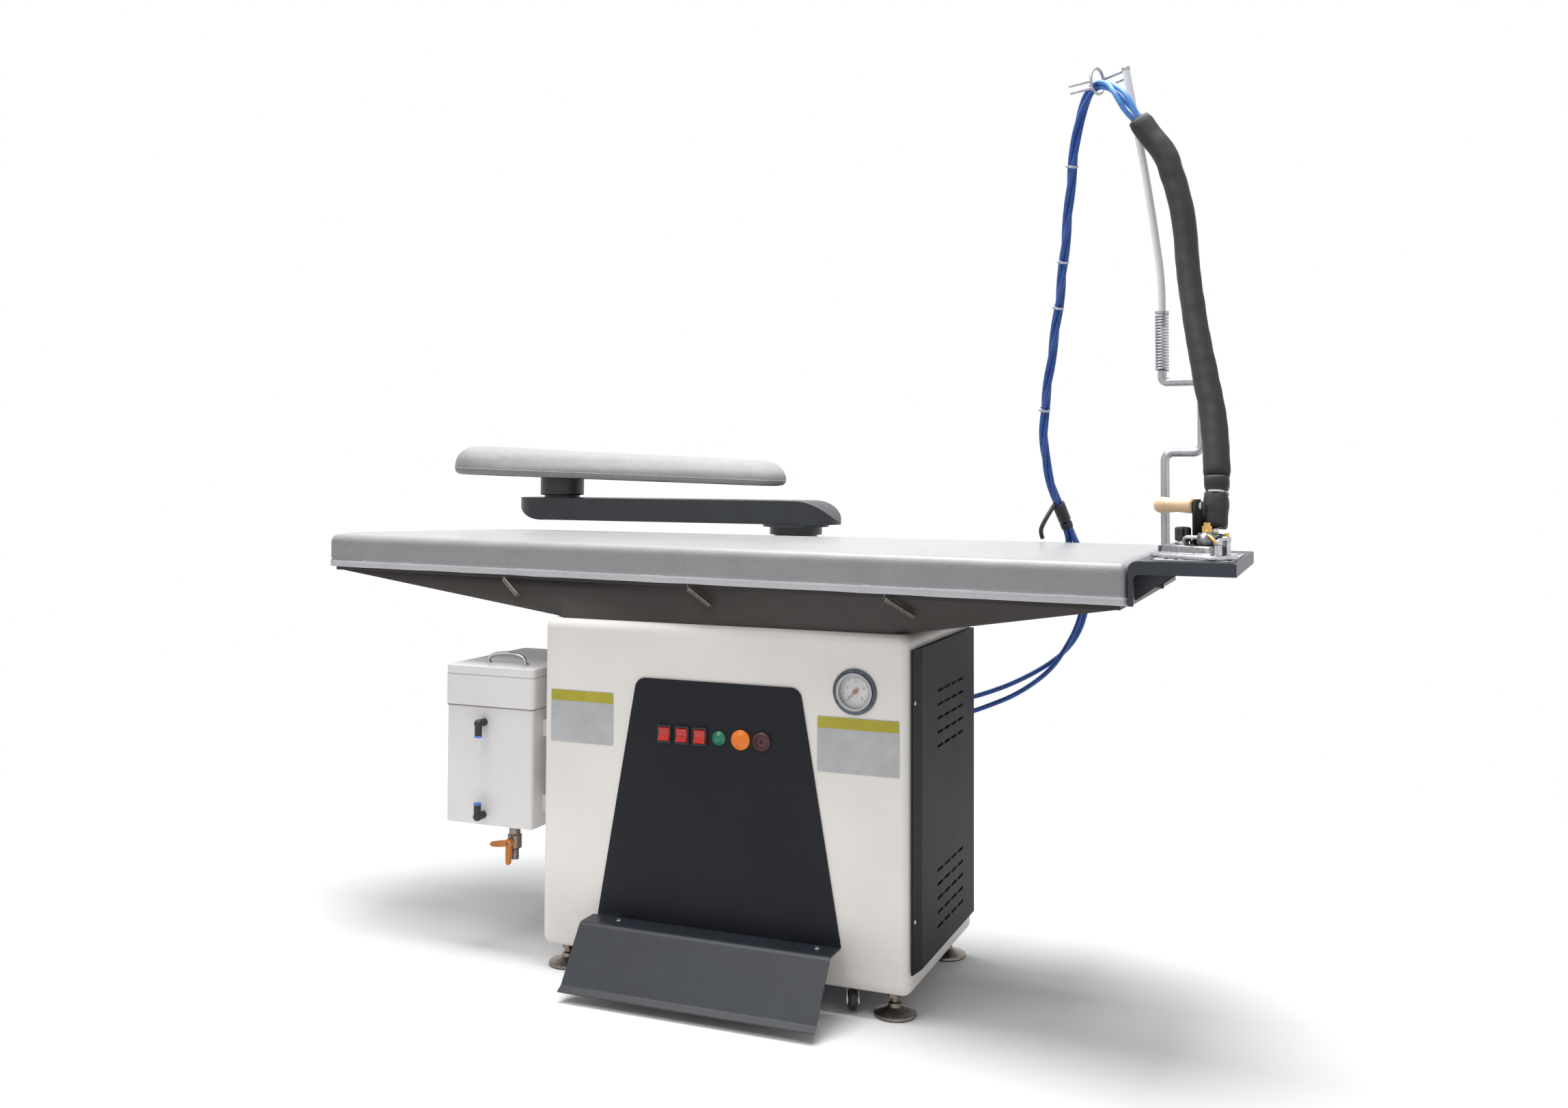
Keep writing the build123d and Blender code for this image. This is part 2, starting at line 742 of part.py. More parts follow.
def iron_rest():
    """Folded bracket: an end plate, a shelf with a turned-down rim and a gusset at each side."""
    x0 = board_right + cloth_gap
    x1 = board_right + rest_len
    y0 = board_front + 3
    y1 = rest_back
    shelf = block(x0, x1, y0, y1, rest_top - rest_rim, rest_top)
    shelf = fillet(shelf.edges().filter_by(Axis.Z).sort_by(Axis.X)[-2:], 3)
    shelf -= block(x0 + rest_plate, x1 - rest_plate, y0 + rest_plate, y1 - rest_plate,
                   rest_top - rest_rim - 1, rest_top - rest_plate)
    plate = block(x0, x0 + rest_plate + 1, y0, rest_plate_back, hem_low, rest_top - 4)
    gusset = Polyline((x0, rest_top - 4), (x0 + gusset_reach, rest_top - 4), (x0 + 4, hem_low + 6),
                      (x0, hem_low + 6), close=True)
    for y in (y0 + 60, y1 - 60):
        wall = Plane(origin=(0, y, 0), x_dir=(1, 0, 0), z_dir=(0, -1, 0)) * make_face(gusset)
        plate += extrude(wall, rest_plate)
    socket = post(mast_x + 4, mast_y, rest_top - rest_rim, rest_top + 12, mast_r + 5)
    return shelf + plate + socket - post(mast_x + 4, mast_y, rest_top - 30, rest_top + 20, mast_r + 0.05)


def rest_mat():
    """Ribbed silicone mat that the iron stands on."""
    x0 = board_right + 38
    x1 = board_right + rest_len - 6
    y0 = board_front + mat_gap
    y1 = mast_y - 35
    mat = block(x0, x1, y0, y1, rest_top + 0.05, rest_top + mat_thick)
    mat = fillet(mat.edges().filter_by(Axis.Z), 18)
    for k in range(7):
        x = x0 + 16 + k * 17
        mat -= block(x, x + 6, y0 + 16, y1 - 16, rest_top + mat_thick - 1, rest_top + mat_thick + 1)
    return mat


# Feet and casters

def levelling_foot(x, y):
    """Conical foot on a threaded stem with its lock nut."""
    profile = [(0, 0), (foot_r - 2, 0), (foot_r, 3), (foot_r - 1, 7), (foot_r * 0.55, 13),
               (foot_stem_r + 5, 17),
               (foot_stem_r + 4, 24), (foot_stem_r, 26), (foot_stem_r, foot_stem_top), (0, foot_stem_top)]
    foot = turned(profile, x, y)
    foot += extrude(Pos(x, y, cab_bottom - 12) * RegularPolygon(14, 6), 11)
    return foot


wheel_z = wheel_r + wheel_clear
tray_low = cab_bottom + sheet


def caster_turn(x):
    return 24 if x > 0 else -30


def caster_fork(x):
    """Swivel fork with two cheeks, its pin up through the tray, and the wheel's axle."""
    top = cab_bottom - 0.6
    reach = caster_trail
    cheek = make_face(Polyline((-13, top - 1), (13, top - 1), (13, top - 6), (-reach + 8, wheel_z - 5),
                               (-reach - 8, wheel_z - 5), (-reach - 8, wheel_z + 6), close=True))
    fork = Pos(0, 0, top - 1.5) * Cylinder(17, 3)
    for side in (-1, 1):
        inner = wheel_w / 2 + 1
        start = inner if side > 0 else -inner - 2.5
        wall = Plane(origin=(start, 0, 0), x_dir=(0, 1, 0), z_dir=(1, 0, 0))
        fork += extrude(wall * cheek, 2.5)
    fork += Pos(0, 0, top - 1.5) * Box(2 * (wheel_w / 2 + 3.5), 26, 3)
    fork += Pos(0, 0, (top + tray_low + 30) / 2) * Cylinder(caster_pin_r, tray_low + 30 - top)
    fork += Pos(0, -reach, wheel_z) * Rot(0, 90, 0) * Cylinder(axle_r, wheel_w + 7)
    return Pos(x, caster_y, 0) * Rot(0, 0, caster_turn(x)) * fork


def caster_wheel(x):
    """Rubber-tyred wheel with a dished hub and a bore for the axle."""
    half = wheel_w / 2
    side = [(axle_r + pivot_gap, half), (9, half), (10, half - 3), (wheel_r - 5, half - 3),
            (wheel_r - 4, half - 1), (wheel_r - 1.5, half - 1.5), (wheel_r, half - 5)]
    points = [(r, -z) for r, z in side] + side[::-1]
    wheel = turned(points, 0, 0)
    placed = Pos(0, -caster_trail, wheel_z) * Rot(0, 90, 0) * wheel
    return Pos(x, caster_y, 0) * Rot(0, 0, caster_turn(x)) * placed


# Foot pedal

def pedal():
    """Folded tread: a flat top, a long sloping skirt and a flared lip, on two hinge arms."""
    t = pedal_sheet
    slope = Vector(pedal_toe_y - pedal_fold_y, pedal_toe_z - pedal_top).normalized()
    normal = Vector(slope.Y, -slope.X)
    if normal.X > 0:
        normal = normal * -1
    outer = [(pedal_back_y, pedal_top), (pedal_fold_y, pedal_top), (pedal_toe_y, pedal_toe_z),
             (pedal_toe_y - pedal_lip, pedal_toe_z - 7)]
    path = FilletPolyline(*[(0, y, z) for y, z in outer], radius=[12, 7])
    section = Plane(origin=path @ 0, x_dir=(1, 0, 0), z_dir=path % 0) * Rectangle(2 * pedal_half, t)
    tread = sweep(section, path=path)
    for x in (-pedal_arm_x, pedal_arm_x):
        outline = Polyline((pedal_back_y + 3, pedal_top - 1), (pedal_fold_y + 6, pedal_top - 1),
                           (pedal_fold_y + 6, pedal_top - 16), (pedal_pivot_y - 8, pedal_pivot_z - 11),
                           (pedal_pivot_y + 8, pedal_pivot_z - 10),
                           (pedal_pivot_y + 9, pedal_pivot_z + 6), close=True)
        arm = make_face(outline)
        wall = extrude(Plane(origin=(x - 3, 0, 0), x_dir=(0, 1, 0), z_dir=(1, 0, 0)) * arm, 6)
        wall -= bar_x(pedal_pivot_y, pedal_pivot_z, x - 5, x + 5, pedal_pin_r + pivot_gap)
        tread += wall
    return tread


def pedal_screws():
    y = (pedal_back_y + pedal_fold_y) / 2 + 8
    group = []
    for x in (-pedal_arm_x, pedal_arm_x):
        head = Pos(x + 14, y, pedal_top + pedal_sheet / 2 + 1.05) * Cylinder(5, 2)
        group.append(fillet(head.edges().sort_by(Axis.Z)[-1:], 0.9))
    return group


def pedal_bracket():
    """Bracket on the cabinet's lower front: a back plate with two ears a side and the hinge pins."""
    group = []
    for x in (-pedal_arm_x, pedal_arm_x):
        plate = block(x - 22, x + 22, -2.3, -seat_gap, pedal_pivot_z - 22, pedal_pivot_z + 13)
        for side in (-1, 1):
            ear = block(x + side * 8 - 2, x + side * 8 + 2, pedal_pivot_y - 9, -2, pedal_pivot_z - 10,
                        pedal_pivot_z + 9)
            plate += ear
        plate += bar_x(pedal_pivot_y, pedal_pivot_z, x - 12, x + 12, pedal_pin_r)
        group.append(plate)
    return Compound(children=group)


# Water tank

def tank_box(inset, low, high):
    body = block(tank_left + inset, tank_right - inset, tank_front + inset, tank_back - inset, low, high)
    return fillet(body.edges().filter_by(Axis.Z), 8 - inset)


def water_tank():
    """Open-topped sheet tank with a raised band round its mouth."""
    body = tank_box(0, tank_low, tank_high)
    body += tank_box(-band_proud, band_low, tank_high - lid_skirt - 1)
    body -= tank_box(tank_wall, tank_low + tank_wall, tank_high + 5)
    body -= post(drain_x, drain_y, tank_low - 5, tank_low + 5, 7)
    return body


def tank_lid():
    """Lift-off lid with a turned-down skirt."""
    lid = tank_box(-2.6, tank_high - lid_skirt, tank_high + 2.5)
    lid -= tank_box(-0.6, tank_high - lid_skirt - 1, tank_high + 0.05)
    return fillet(lid.edges().group_by(Axis.Z)[-1], 1.2)


lid_mid_x = (tank_left + tank_right) / 2
lid_mid_y = tank_front + 66.0
handle_half = 40.0
handle_rise = 24.0
handle_r = 4.0


def lid_handle():
    """Bow handle on two round feet."""
    z = tank_high + 2.5 + 0.05
    left = lid_mid_x - handle_half
    right = lid_mid_x + handle_half
    points = [(left, lid_mid_y, z + 2), (left + 4, lid_mid_y, z + handle_rise),
              (right - 4, lid_mid_y, z + handle_rise), (right, lid_mid_y, z + 2)]
    bow = tube_along(points, [12, 12], handle_r)
    for x in (left, right):
        bow += post(x, lid_mid_y, z, z + 4, handle_r + 4)
    return bow


def tank_bracket():
    """Two stand-off channels that hang the tank on the cabinet's left wall."""
    group = []
    for z in (tank_low + 30, band_low - 60):
        channel = block(tank_right + seat_gap, -cab_w / 2 - seat_gap, tank_front + 40, tank_back - 30,
                        z, z + 34)
        channel -= block(tank_right - 2, -cab_w / 2 + 2, tank_front + 43, tank_back - 33, z + 3, z + 31)
        group.append(channel)
    return group


def sight_fittings():
    """Two black elbows that hold the sight tube in front of the tank."""
    group = []
    for z, way in ((sight_low, 1), (sight_high, -1)):
        elbow = bar_y(sight_x, z, tank_front - 22, tank_front - 0.1, 8)
        elbow += Pos(sight_x, tank_front - 22, z) * Sphere(9)
        low, high = sorted((z, z + way * 24))
        elbow += post(sight_x, tank_front - 22, low, high, 7.5)
        low, high = sorted((z + way * 8, z + way * 30))
        elbow -= post(sight_x, tank_front - 22, low, high, 5.05)
        group.append(elbow)
    return Compound(children=group)


def sight_tube():
    return post(sight_x, tank_front - 22, sight_low + 8.1, sight_high - 8.1, 5)


def drain_valve():
    """Pipe stub, ball valve body and its outlet."""
    profile = [(0, -0.1), (12, -0.1), (12, -22), (15, -24), (15, -50), (9, -54), (9, -74), (6, -74),
               (6, -52), (0, -52)]
    profile = [(r, tank_low + z) for r, z in profile]
    body = turned(profile, drain_x, drain_y)
    stem_z = tank_low - 37
    body += bar_y(drain_x, stem_z, drain_y - 26, drain_y - 10, 4)
    return body


def drain_lever():
    """Butterfly lever: a hub and two curved wings."""
    z = tank_low - 37
    hub = bar_y(0, 0, -6, 6, 9)
    for angle in (188, 268):
        outline = Polyline((2, -6), (22, -6), (42, -4.5), (46, 0), (42, 5), (22, 7), (2, 6), close=True)
        wing = extrude(fillet(make_face(outline).vertices(), 1.5), 6)
        wing = Plane(origin=(0, 3, 0), x_dir=(1, 0, 0), z_dir=(0, -1, 0)) * wing
        hub += Rot(0, -angle, 0) * wing
    hub -= bar_y(0, 0, -10, 10, 4 + pivot_gap)
    return Pos(drain_x, drain_y - 22, z) * hub


# Cover springs between the hem and the hood

def cover_spring(x):
    """Tension spring with a hook at the hem and a hook on the hood."""
    y = front_line(x, cover_cloth / 2)
    start = Vector(x, y, hem_low - 9)
    end_x = x + cover_spring_run
    end_z = hem_low - cover_spring_drop
    rim_y = front_line(end_x, hood_inset)
    low_y = 14
    share = (hood_rim_low - end_z) / (hood_rim_low - cab_top)
    end = Vector(end_x, rim_y + share * (low_y - rim_y) - 8, end_z)
    way = end - start
    turns, gap = coil(0, 0, 0, way.length, cover_coil_r, cover_wire_r, cover_coil_turns)
    spring = Plane(origin=start, z_dir=way) * turns
    cap = Pos(0, 0, -1.2) * Cylinder(cover_coil_r + 2 * cover_wire_r, 1.8)
    hook = tube_between(start - way.normalized() * 1.5, (x, y, hem_low - seat_gap), cover_wire_r)
    hook += Plane(origin=start, z_dir=way) * cap
    hook -= Plane(origin=start, z_dir=way) * Pos(0, 0, way.length / 2) * Box(30, 30, way.length)
    catch = bar_y(end.X, end.Z, end.Y, end.Y + 60, 2.5) - hood_solid(0)
    catch = catch.solids().sort_by(Axis.Y)[0] + Plane(origin=end, z_dir=way * -1) * cap
    catch -= Plane(origin=start, z_dir=way) * Pos(0, 0, way.length / 2) * Box(30, 30, way.length)
    print("cover spring, least gap between turns %.2f" % gap)
    return [spring, hook, catch]


def cover_springs():
    group = []
    for x in cover_spring_x:
        group += cover_spring(x)
    return Compound(children=group)


# Swing arm and sleeve board

def arm_post():
    """Hollow column behind the table with a duct into the hood."""
    column = post(arm_x, arm_y, arm_duct_low - 2, arm_low - 8, post_r)
    column += post(arm_x, arm_y, table_top, arm_low - 6, post_flange_r)
    column += post(arm_x, arm_y, arm_low - 6, arm_low - seat_gap, collar_r)
    column += post(arm_x, arm_y, arm_low - 20, arm_low + 16, spigot_r)
    duct = block(arm_x - arm_duct_half, arm_x + arm_duct_half, arm_duct_front, arm_y,
                 arm_duct_low, arm_duct_high)
    duct -= hood_solid(-0.2)
    duct = duct.solids().sort_by(Axis.Y)[-1]
    column += duct
    column -= post(arm_x, arm_y, arm_duct_low + 6, arm_low + 30, spigot_r - 5)
    return column


def arm_plan(inset):
    """Stadium plan of the arm between its two pivots, wider than the hubs."""
    left = arm_x - arm_reach
    long = arm_reach + 2 * arm_over - 2 * inset
    return Pos((left + arm_x) / 2, arm_y) * SlotOverall(long, 2 * arm_half - 2 * inset)


def arm_side(inset):
    """Side view of the casting: a boat bow at the left, a dropped round nose at the right."""
    left = arm_x - arm_reach - arm_over
    right = arm_x + arm_over
    a = inset
    low = arm_low + a
    high = arm_high - a
    end = right + 4 - a
    start = left - 6 + a
    line = Line((left + 96, low), (end, low))
    lip = Line((end, low), (end, low + 1))
    nose = ThreePointArc((end, low + 1), (right - 24 - a, low + (high - low) * 0.62), (right - 84, high))
    roof = Line((right - 84, high), (start, high))
    bow = ThreePointArc((start, high), (left + 30 + a, low + (high - low) * 0.3), (left + 96, low))
    face = make_face([line, lip, nose, roof, bow])
    wall = Plane(origin=(0, arm_y + arm_half + 5, 0), x_dir=(1, 0, 0), z_dir=(0, -1, 0))
    return wall * extrude(face, 2 * arm_half + 10)


def arm_form(inset):
    tall = Pos(0, 0, arm_low - 5) * extrude(arm_plan(inset), arm_high - arm_low + 10)
    return tall & arm_side(inset)


def swing_arm():
    """Hollow cast arm: it carries the sleeve board and its suction."""
    arm = arm_form(0)
    arm -= arm_form(arm_wall)
    left = arm_x - arm_reach
    arm += post(arm_x, arm_y, arm_low, arm_low + 24, spigot_r + 8)
    arm += post(left, arm_y, arm_high - 24, arm_high + 6, hub_spigot_r + 14)
    arm -= post(arm_x, arm_y, arm_low - 5, arm_low + 30, spigot_r + turn_gap)
    arm -= post(left, arm_y, arm_high - 30, arm_high + 10, hub_spigot_r + turn_gap)
    return arm


def pad_plan(grow):
    """Tapered plan of the sleeve board about its pivot, long end to the right."""
    r0 = pad_wide + grow
    r1 = pad_narrow + grow
    x0 = -pad_left - grow + r0
    x1 = pad_right + grow - r1
    lean = math.asin((r0 - r1) / (x1 - x0))
    s, c = math.sin(lean), math.cos(lean)
    up0, up1 = (x0 + r0 * s, r0 * c), (x1 + r1 * s, r1 * c)
    dn0, dn1 = (x0 + r0 * s, -r0 * c), (x1 + r1 * s, -r1 * c)
    return make_face([Line(up0, up1), ThreePointArc(up1, (x1 + r1, 0), dn1), Line(dn1, dn0),
                      ThreePointArc(dn0, (x0 - r0, 0), up0)])


hub_x = arm_x - arm_reach
pad_place = Pos(hub_x, arm_y, hub_high) * Rot(0, pad_tilt, 0)


def sleeve_board():
    """Suction board on its swivel hub."""
    board = pad_place * extrude(pad_plan(-16), board_thick)
    hub = post(hub_x, arm_y, arm_high + 6 + seat_gap, hub_high + 4, hub_r)
    hub = fillet(hub.edges().filter_by(GeomType.CIRCLE).sort_by(Axis.Z)[:1], 3)
    hub += post(hub_x, arm_y, arm_high - 22, arm_high + 10, hub_spigot_r)
    return board + hub


def sleeve_pad():
    """Padded sleeve former: crowned, with rounded edges and a drawn-in underside."""
    tall = extrude(pad_plan(0), pad_high + 20)
    tall -= Pos(0, 0, pad_high) * Rot(0, pad_taper, 0) * Pos(0, 0, 25) * Box(1500, 500, 50)
    body = fillet(tall.edges().group_by(Axis.Z)[0], 14)
    top = body.faces().sort_by(Axis.Z)[-1]
    body = fillet(top.edges(), 26)
    body -= extrude(Pos(0, 0, -1) * pad_plan(-16 + cloth_gap), board_thick + 1 + cloth_gap)
    return pad_place * body


# Hose mast

def mast_rod():
    """Lower rod with its jog, up to the balance spring."""
    x0 = mast_x + 4
    points = [(x0, mast_y, rest_top - rest_rim + 2), (x0, mast_y, jog_low), (x0 + mast_jog, mast_y, jog_low),
              (x0 + mast_jog, mast_y, jog_high), (mast_x, mast_y, jog_high), (mast_x, mast_y, mast_pivot_z)]
    rod = tube_along(points, [16, 16, 16, 9], mast_r)
    return rod + Pos(mast_x, mast_y, mast_pivot_z) * Sphere(mast_r)


def coil(x, y, z0, z1, radius, wire, turns):
    """Unbroken round wire along a helix, drawn as pairs of arcs for each half turn."""
    rise = (z1 - z0 - 2 * wire) / turns
    start = z0 + wire

    def point(half):
        angle = math.pi * half
        return Vector(x + radius * math.cos(angle), y + radius * math.sin(angle), start + rise * half / 2)

    def direction(half):
        angle = math.pi * half
        way = Vector(-radius * math.sin(angle), radius * math.cos(angle), rise / (2 * math.pi))
        return way.normalized()

    edges = []
    for half in range(2 * turns):
        a, b = point(half), point(half + 1)
        ta, tb = direction(half), direction(half + 1)
        span = b - a
        both = ta + tb
        spare = 2 * (1 - ta.dot(tb))
        reach = (-span.dot(both) + math.sqrt(span.dot(both) ** 2 + spare * span.dot(span))) / spare
        middle = (a + b + (ta - tb) * reach) * 0.5
        edges.append(TangentArc(a, middle, tangent=ta))
        edges.append(TangentArc(middle, b, tangent=edges[-1] % 1))
    path = Wire(edges)
    section = Plane(origin=path @ 0, z_dir=path % 0) * Circle(wire)
    gap = rise - 2 * wire
    return sweep(section, path=path, clean=False), gap


def mast_top():
    """Spring joint, and the upper rod that leans to the left with the hose ring and its prongs."""
    spring, gap = coil(mast_x, mast_y, mast_pivot_z, spring_high, coil_r + coil_wire_r, coil_wire_r,
                       coil_turns)
    print("mast spring, least gap between turns %.2f" % gap)
    points = [(mast_x, mast_y, spring_high - 24), (mast_x, mast_y, spring_high + 62),
              (mast_x - 22, mast_y, 1520), (mast_lean_x, mast_y, mast_top_z)]
    rod = tube_along(points, smooth_radii(points), mast_r - 1)
    rod += Pos(mast_lean_x, mast_y, mast_top_z) * Sphere(mast_r)
    rod += post(mast_x, mast_y, spring_high + seat_gap, spring_high + 5, coil_r + 2 * coil_wire_r)
    rod += Pos(ring_x, mast_y, ring_z) * Rot(0, 0, ring_turn) * Rot(0, 90, 0) * Torus(ring_r, ring_wire_r)
    for dz in (8, -8):
        rod += tube_between((mast_lean_x, mast_y, ring_z + 8 + dz), ring_spot(1, dz), ring_wire_r)
    for dz in (-4, -16):
        x, y, z = ring_spot(-1, dz)
        rod += tube_between((x, y, z), (x - 42, y + 3, z - 6), ring_wire_r)
    return Compound(children=[spring, rod])


def ring_spot(side, dz):
    """Point on the ring at the height dz above its middle, on the back side or the front side."""
    reach = side * math.sqrt(ring_r ** 2 - dz ** 2)
    angle = math.radians(ring_turn)
    return ring_x - reach * math.sin(angle), mast_y + reach * math.cos(angle), ring_z + dz


def tube_between(a, b, radius):
    way = Vector(*b) - Vector(*a)
    return Plane(origin=a, z_dir=way) * Pos(0, 0, way.length / 2) * Cylinder(radius, way.length)


# Steam iron, drawn with its nose along +X and then turned

iron_base = rest_top + mat_thick + 0.3
iron_place = Pos(iron_x, iron_y, iron_base) * Rot(0, 0, 180 + iron_turn)


def sole_plan(inset):
    """Pointed sole outline with bowed sides and a rounded heel."""
    half = iron_len / 2
    nose = (half - inset * 1.6, 0)
    left = (-half + 26, iron_half - inset)
    heel = (-half + inset, iron_half - 24)
    right = (-half + 26, -iron_half + inset)
    heel2 = (-half + inset, -iron_half + 24)
    side_a = ThreePointArc(nose, (half * 0.45, iron_half * 0.62 - inset), left)
    side_b = ThreePointArc(right, (half * 0.45, -iron_half * 0.62 + inset), nose)
    corner_a = ThreePointArc(left, (-half + 8 + inset * 0.7, iron_half - 8 - inset * 0.3), heel)
    corner_b = ThreePointArc(heel2, (-half + 8 + inset * 0.7, -iron_half + 8 + inset * 0.3), right)
    return make_face([side_a, corner_a, Line(heel, heel2), corner_b, side_b])


chamber_top = sole_thick + 17
grip_z = 88.0
bracket_x = -14.0
bracket_thick = 12.0
grip_pin_r = 5.0
knob_x = 20.0
knob_pin_r = 4.0
union_x = -21.0
union_y = -29.0


def iron_body():
    """Sole, cast steam chamber, valve block and the handle's steel bracket."""
    body = extrude(sole_plan(0), sole_thick)
    body += Pos(0, 0, sole_thick) * extrude(sole_plan(9), chamber_top - sole_thick)
    body += block(-40, -16, -12, 22, chamber_top, chamber_top + 14)
    body += post(knob_x, 0, chamber_top, chamber_top + 4, knob_pin_r + 6)
    bracket = block(bracket_x, bracket_x + bracket_thick, -10, 10, chamber_top - 1, grip_z + 10)
    bracket = fillet(bracket.edges().filter_by(Axis.X).sort_by(Axis.Z)[-2:], 8)
    body += bracket
    body -= bar_x(0, grip_z, bracket_x - 5, bracket_x + bracket_thick + 5, grip_pin_r + pivot_gap)
    body -= post(knob_x, 0, chamber_top - 12, chamber_top + 10, knob_pin_r + pivot_gap)
    return iron_place * body


def iron_handle():
    """Turned wooden grip on a steel pin, thicker towards its free end."""
    start = bracket_x + bracket_thick + seat_gap
    outline = [(0, 0), (0, 11), (10, 13), (34, 12), (56, 14), (68, 12), (74, 6), (75, 0)]
    grip = revolve(make_face(Polyline(*outline, close=True)), Axis.X, 360)
    grip = Pos(start, 0, 0) * grip
    pin = bar_x(0, 0, bracket_x, start + 5, grip_pin_r)
    return iron_place * Pos(0, 0, grip_z) * (grip + pin)


def iron_fittings():
    """Brass unions on the chamber, where the steam hose ends, and on the valve block."""
    hose_nut = Pos(union_x, union_y, chamber_top + seat_gap) * extrude(RegularPolygon(8, 6), 9)
    hose_nut += post(union_x, union_y, chamber_top + 9, chamber_top + 15, 5)
    valve_nut = Pos(-28, 5, chamber_top + 14 + seat_gap) * extrude(RegularPolygon(9, 6), 10)
    valve_nut += post(-28, 5, chamber_top + 20, chamber_top + 30, 6)
    return Compound(children=[iron_place * hose_nut, iron_place * valve_nut])


def iron_knob():
    """Fluted steam knob on a stem in the chamber boss."""
    low = chamber_top + 4 + seat_gap
    knob = post(knob_x, 0, low, low + 14, 11)
    for k in range(8):
        angle = math.radians(45 * k)
        knob -= post(knob_x + 12.5 * math.cos(angle), 12.5 * math.sin(angle), low - 1, low + 15, 2.5)
    knob += post(knob_x, 0, chamber_top - 10, low + 1, knob_pin_r)
    return iron_place * knob


# Hoses

hose_unions = ((318.0, 505.0), (318.0, 470.0))
union_out = 30.0
hood_unions = ((525.0, 740.0), (567.0, 740.0))
hood_union_y = 525.5
bundle_route = [(758.3, 168, 1673.2), (738, 169.4, 1703), (714, 190, 1731), (682, 201, 1730),
                (657, 207, 1673), (643, 226, 1606), (632, 249, 1542), (620, 278, 1478),
                (607, 308, 1412), (594, 340, 1348), (578, 372, 1284), (562, 403, 1218),
                (545, 436, 1150), (533, 468, 1084), (532, 496, 1018), (542, 524, 956),
                (556, 546, 912), (566, 557, 880)]
branch_routes = [
    [(561.6, 552.1, 876.5), (567.8, 559, 856.5), (562, 566, 836), (549, 572, 815), (537, 575, 790),
     (531, 574, 768), (528, 564, 751), (526, 547, 741), (525, 526, 740)],
    [(560.6, 562.1, 879.6), (566.8, 569, 859.6), (570, 575, 838), (571, 578, 814), (571, 577, 790),
     (570, 574, 768), (569, 564, 751), (568, 547, 741), (567, 526, 740)]]
tail_routes = [
    [(570.6, 562.1, 882.7), (576.8, 569, 862.7), (586, 574, 842), (596, 577, 816), (604, 578, 784),
     (607, 577, 746), (602, 575, 704), (590, 570, 662), (570, 563, 628), (540, 550, 598), (498, 532, 570),
     (450, 514, 545), (408, 507, 528), (374, 505, 516), (346, 502, 510), (328, 492, 507), (319, 475, 505.5),
     (318.5, 455.5, 505)],
    [(571.6, 552.1, 879.6), (577.8, 559, 859.6), (586, 563, 838), (594, 566, 812), (600, 566, 780),
     (601, 564, 744), (595, 561, 704), (582, 556, 662), (564, 548, 627), (540, 534, 586), (503, 522, 552),
     (458, 510, 522), (408, 501, 500), (374, 500, 486), (346, 499, 477), (328, 490, 473), (319, 474, 470.7),
     (318.5, 455.5, 470)]]
sleeve_route = [(758.8, 168, 1672.5), (788.3, 166, 1629.5), (819, 160, 1587), (840, 154, 1532),
                (852, 148, 1478), (859, 140, 1421), (864, 131, 1362), (873, 114, 1300),
                (884, 95, 1236), (897, 75, 1168), (911, 55, 1108), (919, 34, 1050), (921, 12, 990)]
sleeve_end_route = [(921, 11.8, 989.4), (922.3, -2.6, 950), (919, -10, 908)]


def hose_bundle():
    radii = smooth_radii(bundle_route)
    print("bundle radii", [round(r) for r in radii])
    return tube_along(bundle_route, radii, bundle_r)


def hose_group(routes, radius, name):
    group = []
    for route in routes:
        radii = smooth_radii(route)
        print(name, "radii", [round(r) for r in radii])
        group.append(tube_along(route, radii, radius))
    return Compound(children=group)


def hose_ties(spots, radius):
    """Cable ties round the hose bundle, each with its square head."""
    group = []
    for point, way in spots:
        band = Cylinder(radius + 1.8, 5) - Cylinder(radius + 0.2, 6)
        band += Pos(radius + 3.5, 0, 0) * Box(4, 6, 6)
        group.append(Plane(origin=point, z_dir=way) * band)
    return Compound(children=group)


def middle_of(route, k):
    a, b = Vector(*route[k]), Vector(*route[k + 1])
    return (a + b) * 0.5, (b - a).normalized()


# All the pieces, by name

